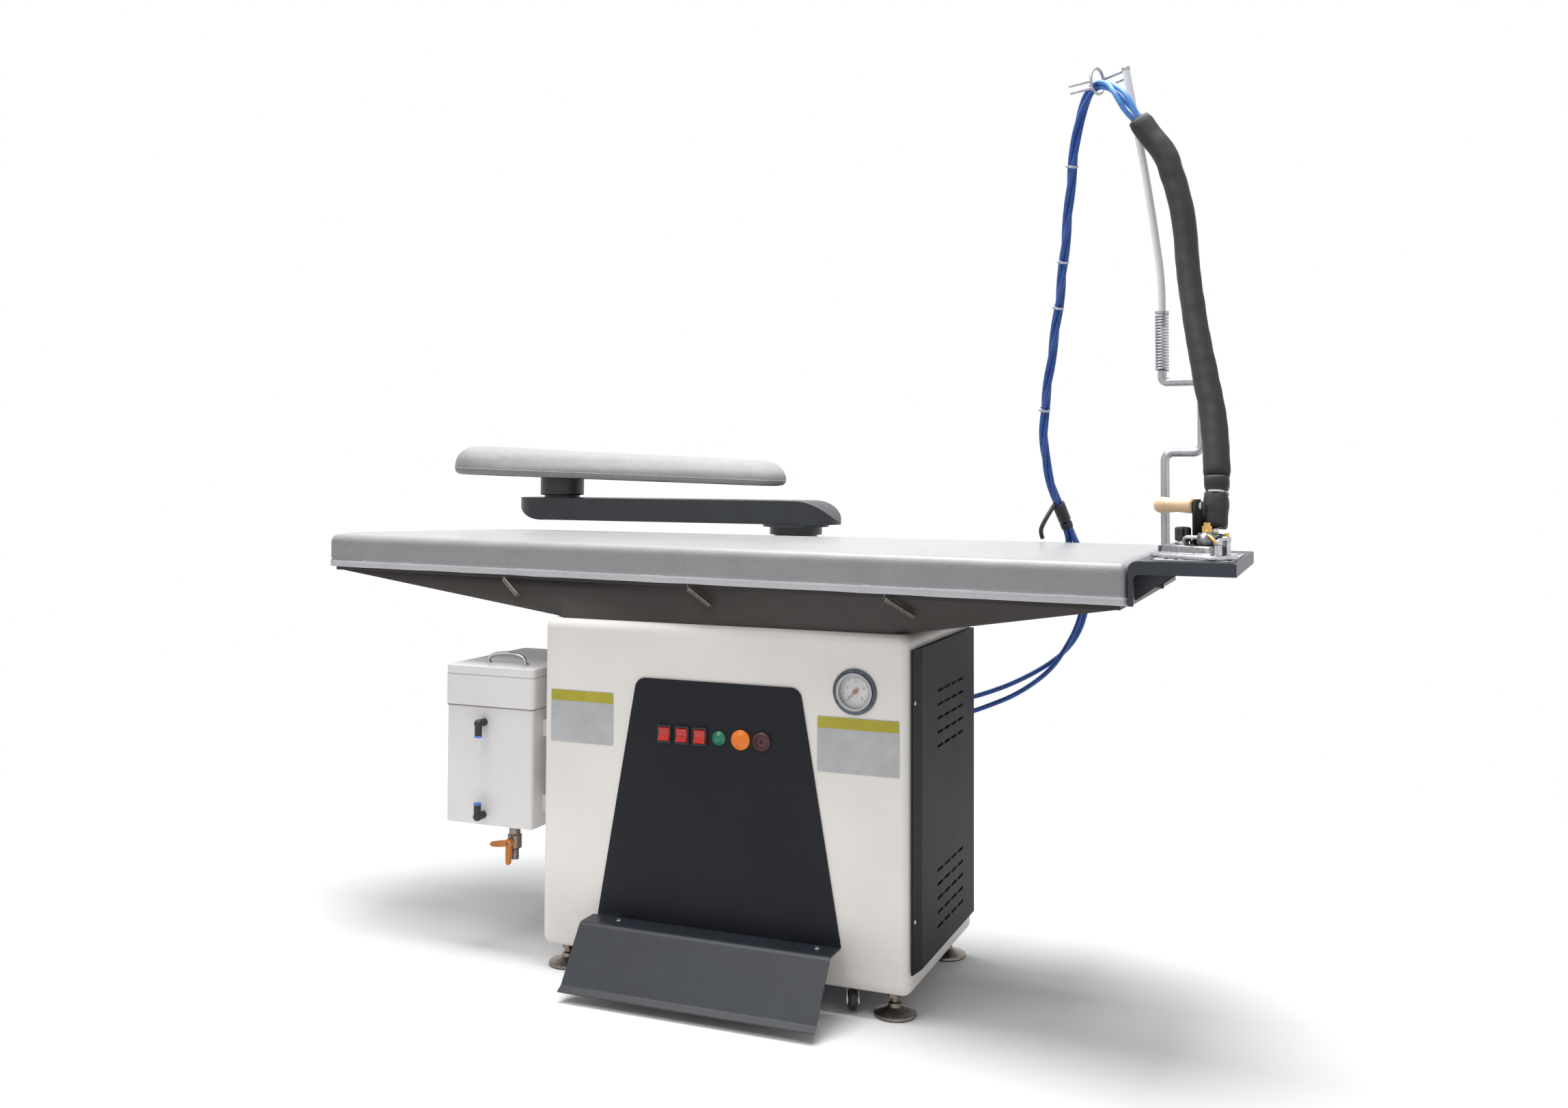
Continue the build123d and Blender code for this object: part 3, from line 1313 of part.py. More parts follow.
pieces = {
    "cabinet_shell": cabinet_shell(),
    "base_tray": base_tray(),
    "back_panel": back_panel(),
    "side_cover": side_cover(),
    "control_panel": control_panel(),
    "switch_bezels": switch_bezels(),
    "rocker_left": rocker(rocker_x[0]),
    "rocker_middle": rocker(rocker_x[1]),
    "rocker_right": rocker(rocker_x[2]),
    "pilot_lamps": pilot_lamps(),
    "alarm_buzzer": alarm_buzzer(),
    "gauge_case": gauge_case(),
    "gauge_dial": gauge_dial(),
    "gauge_needle": gauge_needle(),
    "gauge_glass": gauge_glass(),
    "table_cover": table_cover(),
    "foam_pad": foam_pad(),
    "table_deck": table_deck(),
    "suction_hood": suction_hood(),
    "fan_housing": Compound(children=[fan_housing(), fan_motor()]),
    "fan_impeller": fan_impeller(),
    "boiler": boiler(),
    "boiler_fittings": boiler_fittings(),
    "feed_pump": feed_pump(),
    "iron_rest": iron_rest(),
    "rest_mat": rest_mat(),
    "pedal": Compound(children=[pedal(), *pedal_screws()]),
    "pedal_bracket": pedal_bracket(),
    "water_tank": Compound(children=[water_tank(), *tank_bracket()]),
    "tank_lid": tank_lid(),
    "lid_handle": lid_handle(),
    "sight_fittings": sight_fittings(),
    "sight_tube": sight_tube(),
    "drain_valve": drain_valve(),
    "drain_lever": drain_lever(),
    "arm_post": arm_post(),
    "swing_arm": swing_arm(),
    "sleeve_board": sleeve_board(),
    "sleeve_pad": sleeve_pad(),
    "mast_rod": mast_rod(),
    "mast_top": mast_top(),
    "iron_body": iron_body(),
    "iron_handle": iron_handle(),
    "iron_fittings": iron_fittings(),
    "iron_knob": iron_knob(),
    "cover_springs": cover_springs(),
    "hose_bundle": hose_bundle(),
    "hose_tails": hose_group(branch_routes + tail_routes, tail_r, "hose tails"),
    "hose_sleeve": hose_group([sleeve_route], sleeve_r, "sleeve"),
    "hose_sleeve_end": hose_group([sleeve_end_route], sleeve_r - 2, "sleeve end"),
    "hose_ties": hose_ties([middle_of(bundle_route, k) for k in (4, 6, 8, 11, 14)], bundle_r),
}
for side, x in (("left", -foot_x), ("right", foot_x)):
    pieces["foot_front_" + side] = levelling_foot(x, foot_front_y)
    pieces["foot_back_" + side] = levelling_foot(x, foot_back_y)
for side, x in (("left", -caster_x), ("right", caster_x)):
    pieces["caster_fork_" + side] = caster_fork(x)
    pieces["caster_wheel_" + side] = caster_wheel(x)

screws = []
for z in strip_screw_z:
    point, normal = strip_spot(strip_screw_y, z)
    screws.append(cap_screw(*point, normal))
for y, z in rest_screws:
    screws.append(cap_screw(board_right + cloth_gap + rest_plate + 1, y, z, (1, 0, 0), 6.0))
pieces["screws"] = Compound(children=screws)

# Move the origin under the middle of the machine and write each piece
boxes = [shape.bounding_box() for name, shape in pieces.items() if not name.startswith("hose")]
mid_x = (min(b.min.X for b in boxes) + max(b.max.X for b in boxes)) / 2
mid_y = (min(b.min.Y for b in boxes) + max(b.max.Y for b in boxes)) / 2
shift = Pos(-mid_x, -mid_y, 0)
print("origin in cabinet coordinates", round(mid_x, 3), round(mid_y, 3))
for name, shape in pieces.items():
    export_step(shift * shape, "parts/" + name + ".step")
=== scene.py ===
import bpy
import bmesh
import math
from mathutils import Matrix, Vector, noise


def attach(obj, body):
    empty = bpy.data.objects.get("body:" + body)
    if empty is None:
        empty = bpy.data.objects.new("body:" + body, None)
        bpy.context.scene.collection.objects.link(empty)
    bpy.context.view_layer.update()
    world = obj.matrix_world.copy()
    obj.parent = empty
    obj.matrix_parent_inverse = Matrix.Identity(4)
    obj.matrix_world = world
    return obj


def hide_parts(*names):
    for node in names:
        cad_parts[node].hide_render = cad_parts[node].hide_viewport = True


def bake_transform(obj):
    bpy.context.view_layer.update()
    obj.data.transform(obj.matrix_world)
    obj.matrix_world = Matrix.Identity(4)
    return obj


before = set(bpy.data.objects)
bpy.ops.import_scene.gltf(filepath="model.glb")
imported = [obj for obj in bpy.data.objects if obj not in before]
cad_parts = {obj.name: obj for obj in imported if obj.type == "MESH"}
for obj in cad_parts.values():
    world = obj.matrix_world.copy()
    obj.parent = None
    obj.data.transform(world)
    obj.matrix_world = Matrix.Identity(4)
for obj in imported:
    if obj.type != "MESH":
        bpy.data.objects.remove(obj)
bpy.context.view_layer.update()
mm = 0.001
cabinetOrigin = (-33.626, 282.665)   # millimetres, where the model's origin lies in cabinet coordinates


def spot(x, y, z):
    # cabinet millimetres to metres in the model's frame
    return Vector(((x - cabinetOrigin[0]) * mm, (y - cabinetOrigin[1]) * mm, z * mm))


def spots(points):
    return [spot(*p) for p in points]


def hexColor(text):
    out = []
    for i in (1, 3, 5):
        c = int(text[i:i + 2], 16) / 255
        out.append(c / 12.92 if c <= 0.04045 else ((c + 0.055) / 1.055) ** 2.4)
    return (*out, 1.0)


# Objects and meshes

def placed(name, data):
    obj = bpy.data.objects.new(name, data)
    bpy.context.collection.objects.link(obj)
    return obj


def plainMesh(obj, keep=False):
    # what the object's spline, text or modifiers make, as a plain mesh
    bpy.context.view_layer.update()
    mesh = bpy.data.meshes.new_from_object(obj.evaluated_get(bpy.context.evaluated_depsgraph_get()))
    if not keep:
        bpy.data.objects.remove(obj)
    return mesh


def meshObject(name, verts, faces, materials=(), smooth=True):
    mesh = bpy.data.meshes.new(name)
    mesh.from_pydata([tuple(v) for v in verts], [], faces)
    mesh.validate()
    mesh.update()
    for m in materials:
        mesh.materials.append(m)
    mesh.polygons.foreach_set("use_smooth", [smooth] * len(mesh.polygons))
    return placed(name, mesh)


def pointOutwards(obj):
    form = bmesh.new()
    form.from_mesh(obj.data)
    bmesh.ops.remove_doubles(form, verts=form.verts, dist=1e-6)
    bmesh.ops.recalc_face_normals(form, faces=form.faces)
    form.to_mesh(obj.data)
    form.free()
    return obj


def stackRings(rings, loop=False):
    # skin over rings with the same number of points: capped at both ends, or closed on itself
    count, total = len(rings[0]), len(rings) * len(rings[0])
    faces = []
    for r in range(0, total if loop else total - count, count):
        for i in range(count):
            j = (i + 1) % count
            faces.append((r + i, r + j, (r + count + j) % total, (r + count + i) % total))
    if not loop:
        faces += [tuple(range(count))[::-1], tuple(range(total - count, total))]
    return [p for ring in rings for p in ring], faces


def skinned(name, rings, materials, smooth=True, loop=False):
    return pointOutwards(meshObject(name, *stackRings(rings, loop), materials, smooth))


def slotWhere(obj, test):
    # the second material where the test holds at a polygon's centre
    for poly in obj.data.polygons:
        poly.material_index = int(test(poly.center))


def joined(name, parts):
    # one mesh out of several, with their materials
    with bpy.context.temp_override(active_object=parts[0], selected_editable_objects=parts, object=parts[0]):
        bpy.ops.object.join()
    parts[0].name = name
    return parts[0]


# Outlines, turned pieces and tubes

def arc(cx, cy, radius, start, stop, count=8):
    turn = [math.radians(start + (stop - start) * k / count) for k in range(count + 1)]
    return [(cx + radius * math.cos(a), cy + radius * math.sin(a)) for a in turn]


def straight(a, b, count):
    # points from a up to b, without b
    return [Vector(a) + (Vector(b) - Vector(a)) * (k / count) for k in range(count)]


def share(value, low, width):
    # from 0 at low to 1 a width further
    return min(1.0, max(0.0, (value - low) / width))


def roundedOutline(x0, x1, y0, y1, radius, inset=0.0):
    # rectangle with round corners; inset draws it in about the same centres
    out = []
    for x, y, start in ((x1 - radius, y1 - radius, 0), (x0 + radius, y1 - radius, 90),
                        (x0 + radius, y0 + radius, 180), (x1 - radius, y0 + radius, 270)):
        out += arc(x, y, radius - inset, start, start + 90, 6)
    return out


def alongY(name, outline, y0, y1, materials):
    # sheet with the given outline in XZ, from y0 to y1
    return skinned(name, [[spot(x, y, z) for x, z in outline] for y in (y0, y1)], materials, False)


def around(count):
    return [2 * math.pi * k / count for k in range(count)]


def turnedPiece(name, profile, place, materials, segments=48, smooth=True):
    # profile holds (radius, height) pairs in millimetres; place turns it into the frame
    rings = []
    for radius, z in profile:
        r = max(radius, 0.02)
        rings.append([place @ (Vector((r * math.cos(a), r * math.sin(a), z)) * mm) for a in around(segments)])
    return skinned(name, rings, materials, smooth)


def routeLine(points, place=spot):
    # the smooth line that a hose follows, read from its spline
    curve = bpy.data.curves.new("route", "CURVE")
    curve.dimensions = "3D"
    spline = curve.splines.new("NURBS")
    spline.points.add(len(points) - 1)
    for target, p in zip(spline.points, points):
        target.co = (*place(*p), 1)
    spline.order_u = 3
    spline.use_endpoint_u = True
    spline.resolution_u = 10
    return [v.co.copy() for v in plainMesh(placed("route", curve)).vertices]


def wayAt(line, i):
    return (line[min(i + 1, len(line) - 1)] - line[max(i - 1, 0)]).normalized()


def offset(side, up, radius, a):
    return side * (radius * math.cos(a)) + up * (radius * math.sin(a))


def framesAlong(line):
    # point, side, up and way along a line, turned as little as possible
    frames = []
    side = wayAt(line, 0).orthogonal().normalized()
    for i, p in enumerate(line):
        way = wayAt(line, i)
        side = (side - way * side.dot(way)).normalized()
        frames.append((p, side, way.cross(side), way))
    return frames


def runLength(line):
    total = [0.0]
    for a, b in zip(line, line[1:]):
        total.append(total[-1] + (b - a).length)
    return total


def tubeMesh(name, line, radius, materials, sides=20, slotAt=None):
    # closed tube; radius is a number of millimetres, or gives it for an index and an angle
    rings = []
    for i, (p, side, up, way) in enumerate(framesAlong(line)):
        rings.append([p + offset(side, up, (radius(i, a) if callable(radius) else radius) * mm, a)
                      for a in around(sides)])
    obj = meshObject(name, *stackRings(rings), materials)
    if slotAt:
        for poly in obj.data.polygons:
            poly.material_index = slotAt(poly.vertices[0] // sides)
    uv = obj.data.uv_layers.new(name="along")
    run = runLength(line)
    for poly in obj.data.polygons:
        across = [v % sides for v in poly.vertices]
        wraps = len(across) == 4 and {0, sides - 1} <= set(across)
        for loop, v, step in zip(poly.loop_indices, poly.vertices, across):
            uv.data[loop].uv = ((sides if wraps and step == 0 else step) / sides, run[v // sides])
    return pointOutwards(obj)


def bandRound(name, p, way, inner, outer, width, material, sides=28, lump=0.0):
    # closed ring with a rectangular section and softened corners, round a hose
    side = way.orthogonal().normalized()
    up = way.cross(side)
    soft = 0.4
    section = [(inner, -width / 2), (outer - 0.3, -width / 2), (outer, soft - width / 2), (outer, width / 2 - soft),
               (outer - 0.3, width / 2), (inner, width / 2)]
    rings = []
    for a in around(sides):
        grow = lump * noise.noise(Vector((3 * math.cos(a), 3 * math.sin(a), width)))
        rings.append([p + offset(side, up, (r + (grow if r > inner else 0)) * mm, a) + way * (h * mm)
                      for r, h in section])
    return skinned(name, rings, [material], loop=True)


# Materials

def addNode(tree, kind, sockets=None, out=0, **settings):
    # one node: settings are its properties, sockets its input values or the sockets linked into them;
    # gives back the output that out names
    node = tree.nodes.new(kind)
    for key, value in settings.items():
        setattr(node, key, value)
    for key, value in (sockets or {}).items():
        if isinstance(value, bpy.types.NodeSocket):
            tree.links.new(value, node.inputs[key])
        else:
            node.inputs[key].default_value = value
    return node.outputs[out] if node.outputs else node


def mathOf(tree, operation, *values):
    return addNode(tree, "ShaderNodeMath", dict(enumerate(values)), operation=operation)


def newMaterial(name):
    material = bpy.data.materials.new(name)
    material.use_nodes = True
    material.node_tree.nodes.clear()
    return material, material.node_tree


def finishMaterial(tree, sockets):
    shader = addNode(tree, "ShaderNodeBsdfPrincipled", sockets)
    addNode(tree, "ShaderNodeOutputMaterial", {"Surface": shader})


def noiseAt(tree, coords, sizeMm, detail=3.0, rough=0.5):
    # noise whose blobs are about sizeMm across
    return addNode(tree, "ShaderNodeTexNoise", {"Vector": coords, "Scale": 1000.0 / sizeMm, "Detail": detail,
                                                "Roughness": rough})


def rampBetween(tree, value, ramp, darker, color):
    socket = addNode(tree, "ShaderNodeValToRGB", {"Fac": value})
    for stop, position, text in zip(socket.node.color_ramp.elements, ramp, (darker, color)):
        stop.position = position
        stop.color = hexColor(text)
    return socket


def spread(tree, value, low, high):
    return addNode(tree, "ShaderNodeMapRange", {"Value": value, "To Min": low, "To Max": high})


def bumpOf(tree, height, depthMm, strength, **more):
    return addNode(tree, "ShaderNodeBump", {"Height": height, "Distance": depthMm * mm, "Strength": strength, **more})


def dusted(tree, coords, base, dust):
    # a little dust in patches low down
    height = addNode(tree, "ShaderNodeSeparateXYZ", {"Vector": coords}, "Z")
    low = addNode(tree, "ShaderNodeMapRange", {"Value": height, "From Min": 0.04, "From Max": 0.22,
                                               "To Min": 0.55, "To Max": 0.0})
    amount = mathOf(tree, "MULTIPLY", low, noiseAt(tree, coords, 45, 5.0, 0.6))
    return addNode(tree, "ShaderNodeMix", {"Factor": amount, 6: base, 7: hexColor(dust)}, 2, data_type="RGBA")


def surface(name, color, darker, rough, tone, ramp, grain, relief, roughBy, sockets=None, mapping=None, dust=None):
    # tone noise mixes the two colours over the ramp, grain noise gives the relief (depth in millimetres and
    # strength); rough is a range over the noise that roughBy names
    material, tree = newMaterial(name)
    coords = addNode(tree, "ShaderNodeTexCoord", out="Object")
    if mapping:
        coords = addNode(tree, "ShaderNodeMapping", {"Vector": coords, **mapping})
    noises = {"tone": noiseAt(tree, coords, *tone), "grain": noiseAt(tree, coords, *grain)}
    base = rampBetween(tree, noises["tone"], ramp, darker, color)
    if dust:
        base = dusted(tree, coords, base, dust)
    finishMaterial(tree, {"Base Color": base, "Roughness": spread(tree, noises[roughBy], *rough),
                          "Normal": bumpOf(tree, noises["grain"], *relief), **(sockets or {})})
    return material


def powderCoat(name, color, darker, rough, peelMm=1.6, peelDepth=0.05, dust=None, shine=0.5):
    # baked powder coat on sheet steel: matt, with a fine orange peel that breaks up highlights, and hand marks
    return surface(name, color, darker, (rough - 0.06, rough + 0.06), (160, 4.0, 0.55), (0.32, 0.68), (peelMm, 2.0),
                   (peelDepth, 0.6), "tone", {"Specular IOR Level": shine}, dust=dust)


def mouldedPlastic(name, color, darker, rough, grainMm=0.9, grainDepth=0.03, glow=None):
    # injection-moulded ABS: even colour right through, a fine spark-eroded grain and soft reflections
    lit = {"Emission Color": hexColor(glow), "Emission Strength": 0.25} if glow else None
    return surface(name, color, darker, (rough - 0.05, rough + 0.08), (30, 3.0), (0.35, 0.65), (grainMm, 2.0),
                   (grainDepth, 0.5), "grain", lit)


def platedMetal(name, color, darker, rough, streakMm=18, depth=0.02, stretch=(1, 1, 1)):
    # bare or plated metal: a mirror-like coat with faint polishing lines and finger marks
    return surface(name, color, darker, (rough * 0.7, rough * 1.4), (streakMm, 5.0, 0.65), (0.3, 0.7),
                   (streakMm / 9, 3.0), (depth, 0.4), "tone", {"Metallic": 1.0}, {"Scale": stretch})


def wovenCloth(name, color, darker, threadMm, rough, sheen=0.15, foldMm=90, foldDepth=0.8, useUv=False):
    # plain weave: crossing threads as fine ridges, soft folds and a dusty sheen at grazing angles.
    # The real threads are about 0.4 mm apart and are drawn coarser so that they show
    material, tree = newMaterial(name)
    source = addNode(tree, "ShaderNodeTexCoord").node.outputs
    coords = source["Object"]
    if useUv:
        coords = addNode(tree, "ShaderNodeMapping", {"Vector": source["UV"], "Scale": (0.125, 1, 1)})
    waveScale = 314.0 / threadMm   # a wave node's bands lie 314 mm apart at scale 1
    threads = [addNode(tree, "ShaderNodeTexWave", {"Vector": coords, "Scale": waveScale, "Distortion": 0.6}, "Fac",
                       bands_direction=way) for way in "XY"]
    fold = noiseAt(tree, source["Object"], foldMm, 4.0, 0.55)
    fuzz = noiseAt(tree, source["Object"], 6)
    half = mathOf(tree, "MULTIPLY", mathOf(tree, "ADD", fold, fuzz), 0.5)
    relief = bumpOf(tree, fold, foldDepth * 6, 0.35)
    finishMaterial(tree, {"Base Color": rampBetween(tree, half, (0.35, 0.65), darker, color),
                          "Roughness": spread(tree, fuzz, rough - 0.05, rough + 0.05),
                          "Sheen Weight": sheen, "Sheen Roughness": 0.4,
                          "Normal": bumpOf(tree, mathOf(tree, "MAXIMUM", *threads), 0.15, 0.5, Normal=relief)})
    return material


def clearGlass(name, tint, rough):
    # thin float glass: nearly colourless with a clean reflection
    material, tree = newMaterial(name)
    smear = noiseAt(tree, addNode(tree, "ShaderNodeTexCoord", out="Object"), 12)
    finishMaterial(tree, {"Base Color": hexColor(tint), "Roughness": spread(tree, smear, rough, rough + 0.06),
                          "IOR": 1.45, "Alpha": 0.1})
    return material


def rubberHose(name, color, darker):
    # extruded polyurethane tube: satin, with a faint draw line along it
    return surface(name, color, darker, (0.3, 0.45), (14, 3.0), (0.3, 0.7), (1.6, 2.0), (0.04, 0.4), "grain")


print("materials")
ivoryPowder = powderCoat("ivoryPowderCoat", "#F1ECE7", "#EAE5E0", 0.42, dust="#B9B2A8")
whitePowder = powderCoat("whitePowderCoat", "#EEEBEA", "#E7E4E3", 0.4)
blackPowder = powderCoat("blackPowderCoat", "#191A1C", "#151618", 0.6, peelMm=2.2, peelDepth=0.08, shine=0.15)
panelPowder = powderCoat("graphitePowderCoat", "#1F2126", "#1A1C21", 0.55, peelMm=2.2, peelDepth=0.07, shine=0.18)
pedalPowder = powderCoat("slatePowderCoat", "#1D222A", "#181C23", 0.42, peelMm=2.0, peelDepth=0.06, dust="#3A3E45")
restPowder = powderCoat("slateBluePowderCoat", "#2F343D", "#282C34", 0.42, peelMm=2.0)
hoodPowder = powderCoat("greyPowderCoat", "#45403E", "#3D3937", 0.6, peelMm=2.0, shine=0.3)
# Machine enamel over sand-cast iron: the cast skin's lumps show through the paint
armEnamel = surface("graphiteMachineEnamel", "#262A30", "#1F2227", (0.28, 0.44), (60, 3.0), (0.35, 0.65),
                    (5.5, 4.0, 0.6), (0.22, 0.6), "grain")
galvanised = platedMetal("galvanisedSteel", "#B9BCBF", "#9A9DA1", 0.45, streakMm=14)
chrome = platedMetal("chromePlatedSteel", "#CFD0D2", "#9FA1A5", 0.18, streakMm=30)
satinRod = platedMetal("satinNickelRod", "#B4B6B9", "#94979B", 0.3, streakMm=8, stretch=(1, 1, 0.1))
paleRod = powderCoat("palePowderCoatedRod", "#F2F2F2", "#E9E9EA", 0.45)
zincSteel = platedMetal("zincPlatedSteel", "#C9CBCE", "#A9ACB0", 0.28, streakMm=9)
castAluminium = platedMetal("castAluminium", "#9A9B9D", "#6F7173", 0.36, streakMm=7, depth=0.06)
gunmetal = platedMetal("gunmetalBezel", "#5A5F68", "#454A52", 0.26, streakMm=12)
darkNickel = platedMetal("darkNickelPlate", "#8C847C", "#6E6760", 0.3, streakMm=9)
brass = platedMetal("turnedBrass", "#D8B878", "#B8914E", 0.28, streakMm=10)
blackPlastic = mouldedPlastic("blackAbs", "#1E1F22", "#191A1C", 0.4)
orangePlastic = mouldedPlastic("orangeNylon", "#CC7A1E", "#BA6C18", 0.4)
needlePaint = mouldedPlastic("needlePaint", "#A9480F", "#98400D", 0.4, grainDepth=0.0)
redLens = mouldedPlastic("redPolycarbonate", "#B3241C", "#971C16", 0.3, grainDepth=0.0, glow="#B0241A")
greenLens = mouldedPlastic("greenPolycarbonate", "#0F7050", "#0B5C42", 0.25, grainDepth=0.0, glow="#0F7452")
orangeLens = mouldedPlastic("orangePolycarbonate", "#DB7416", "#C96610", 0.25, grainDepth=0.0, glow="#DD7413")
darkRedPlastic = mouldedPlastic("darkRedAbs", "#4A1E22", "#3B181B", 0.4)
dialWhite = mouldedPlastic("dialEnamel", "#F2F1EE", "#EBEAE6", 0.35, grainDepth=0.0)
siliconeMat = mouldedPlastic("greySilicone", "#A9AAAC", "#9D9EA0", 0.55, grainMm=1.4, grainDepth=0.05)
coverCloth = wovenCloth("siliconeCoatedCotton", "#9C9D9E", "#939495", 2.2, 0.36, sheen=0.0, foldDepth=0.35)
hemCloth = wovenCloth("hemBindingCotton", "#D2D2D5", "#C6C6CA", 1.8, 0.6, sheen=0.1)
padCloth = wovenCloth("padCotton", "#9A9999", "#8F8E8E", 2.0, 0.7, sheen=0.05)
foamCore = mouldedPlastic("polyurethaneFoam", "#D9D2B4", "#CBC3A2", 0.9, grainMm=2.4, grainDepth=0.4)
sleeveCloth = wovenCloth("blackNylonSleeve", "#141416", "#0E0E10", 1.6, 0.6, sheen=0.04, foldMm=40, useUv=True)
lightHose = rubberHose("paleBlueHose", "#5F9BE0", "#4480C8")
darkHose = rubberHose("deepBlueHose", "#2C5FB2", "#23488F")
tiePlastic = mouldedPlastic("naturalNylonTie", "#DFE3EA", "#CDD2DA", 0.4)
# darker ivory for the strips under the tank's folded edges: painted shade, not a colour the paint has
revealShade = powderCoat("ivoryPaintedShadeInFold", "#8F8984", "#7F7974", 0.6)
colletBlue = mouldedPlastic("blueAcetalCollet", "#4C7FD0", "#3F6FBD", 0.35)
darkTie = mouldedPlastic("blackNylonTie", "#1D1E20", "#17181A", 0.45)
plateGrey = mouldedPlastic("plateVinyl", "#BCBDBF", "#B3B4B6", 0.45, grainDepth=0.0)
plateYellow = mouldedPlastic("plateYellowVinyl", "#B5AB35", "#ABA12F", 0.45, grainDepth=0.0)
# Turned beech under clear lacquer: pale, with short darker flecks and fine lines along the grip
woodLines = (2.2, 5.0, 0.6)
beech = surface("lacqueredBeech", "#F5DDBB", "#D9AE7C", (0.34, 0.5), woodLines, (0.3, 0.72), woodLines, (0.06, 0.5),
                "tone", {"Coat Weight": 0.3, "Coat Roughness": 0.25},
                {"Rotation": (0, 0, math.radians(25)), "Scale": (0.14, 1, 1)})
glass = clearGlass("gaugeGlass", "#F4F8F8", 0.03)
tubeGlass = clearGlass("sightGlass", "#E8F0F0", 0.05)

# Nodes that take each finish
finishes = [
    (ivoryPowder, "cabinet_shell back_panel"), (blackPowder, "side_cover pedal_bracket"),
    (panelPowder, "control_panel"), (hoodPowder, "suction_hood"), (restPowder, "iron_rest"), (pedalPowder, "pedal"),
    (whitePowder, "water_tank tank_lid"), (galvanised, "base_tray table_deck fan_housing"),
    (blackPlastic, "switch_bezels sight_fittings iron_knob caster_wheel_left caster_wheel_right"),
    (redLens, "rocker_left rocker_middle rocker_right"), (greenLens, "pilot_lamps"), (darkRedPlastic, "alarm_buzzer"),
    (gunmetal, "gauge_case"), (dialWhite, "gauge_dial"), (needlePaint, "gauge_needle"), (glass, "gauge_glass"),
    (castAluminium, "fan_impeller feed_pump iron_body"), (brass, "boiler_fittings iron_fittings"),
    (zincSteel, "boiler screws caster_fork_left caster_fork_right"), (siliconeMat, "rest_mat"),
    (chrome, "lid_handle"), (tubeGlass, "sight_tube"), (orangePlastic, "drain_lever"),
    (armEnamel, "arm_post swing_arm sleeve_board"), (satinRod, "mast_rod mast_top"),
    (darkNickel, "drain_valve cover_springs foot_front_left foot_front_right foot_back_left foot_back_right"),
]
for material, nodes in finishes:
    for node in nodes.split():
        slots = bpy.data.objects[node].data.materials
        slots.clear()
        slots.append(material)


def secondSlot(node, material, test):
    obj = bpy.data.objects[node]
    obj.data.materials.append(material)
    slotWhere(obj, test)


# The green lens lies left of the orange one; the mast's upper rod is pale, its spring and ring are plated
secondSlot("pilot_lamps", orangeLens, lambda c: c.x > spot(29, 0, 0).x)
paleFrom, paleTo = spot(738, 0, 1300), spot(0, 0, 1752)
secondSlot("mast_top", paleRod, lambda c: paleFrom.z < c.z < paleTo.z and c.x > paleFrom.x)


# Repeated things, made by node trees

def repeatTree(name, inputs):
    tree = bpy.data.node_groups.new(name, "GeometryNodeTree")
    tree.interface.new_socket("Geometry", in_out="INPUT", socket_type="NodeSocketGeometry")
    for label, kind, value in inputs:
        socket = tree.interface.new_socket(label, in_out="INPUT", socket_type="NodeSocket" + kind)
        if value is not None:
            socket.default_value = value
    tree.interface.new_socket("Geometry", in_out="OUTPUT", socket_type="NodeSocketGeometry")
    return tree, addNode(tree, "NodeGroupInput").node.outputs


def laidOut(tree, sockets, material):
    # instances on points, made real, painted and sent out of the tree
    real = addNode(tree, "GeometryNodeRealizeInstances", {0: addNode(tree, "GeometryNodeInstanceOnPoints", sockets)})
    painted = addNode(tree, "GeometryNodeSetMaterial", {"Geometry": real, "Material": material})
    addNode(tree, "NodeGroupOutput", {0: painted})
    return tree


def grown(name, carrier, tree, values, material):
    # run the tree on the carrier, keep the plain mesh and drop the carrier
    modifier = carrier.modifiers.new("grow", "NODES")
    modifier.node_group = tree
    for item in tree.interface.items_tree:
        if item.in_out == "INPUT" and item.name in values:
            modifier[item.identifier] = values[item.name]
    mesh = plainMesh(carrier)
    if material.name not in [s.name for s in mesh.materials if s]:
        mesh.materials.append(material)
    return placed(name, mesh)


def lineMesh(name, points, closed=False):
    mesh = bpy.data.meshes.new(name)
    count = len(points)
    edges = [(i, (i + 1) % count) for i in range(count if closed else count - 1)]
    mesh.from_pydata([tuple(p) for p in points], edges, [])
    return placed(name, mesh)


def stitchTree():
    # short threads laid end to end along a line
    tree, given = repeatTree("stitches", [("Spacing", "Float", 0.004), ("Length", "Float", 0.0026),
                                          ("Thickness", "Float", 0.0006), ("Thread", "Material", None)])
    curve = addNode(tree, "GeometryNodeMeshToCurve", {"Mesh": given["Geometry"]})
    points = addNode(tree, "GeometryNodeCurveToPoints", {"Curve": curve, "Length": given["Spacing"]}, mode="LENGTH")
    thread = addNode(tree, "GeometryNodeMeshCylinder", {"Vertices": 6, "Radius": given["Thickness"],
                                                        "Depth": given["Length"]})
    return laidOut(tree, {"Points": points, "Instance": thread, "Rotation": points.node.outputs["Rotation"]},
                   given["Thread"])


stitches = stitchTree()


def stitchRow(name, line, values):
    return grown(name, lineMesh(name + "Line", line, True), stitches, dict(values, Thread=hemCloth), hemCloth)


# Table cover, hem and foam

tableCover = {
    "corners": [(788, -98), (788, 540), (-800, 540), (-1050, 205), (-1012, 100)],
    "radii": [12, 25, 260, 70, 25],
    "steps": [(90, 6), (170, 8), (20, 44), (8, 16), (200, 8)],
    "top": 850.0, "low": 778.0, "cloth": 2.6, "shoulder": 18.0, "hemBand": 14.0,
    "hemProud": 0.9, "sideWave": 1.6, "gatherDepth": 4.2, "gatherPitch": 11.0, "creasePitch": 27.0,
    "stitch": {"Spacing": 0.0055, "Length": 0.0038, "Thickness": 0.0005},
    "foam": [(16.6, 9), (15, 4.5), (11, 3.6), (7, 4.6), (3, 9), (0.6, 16), (0.2, 30), (0.1, 60)],
}


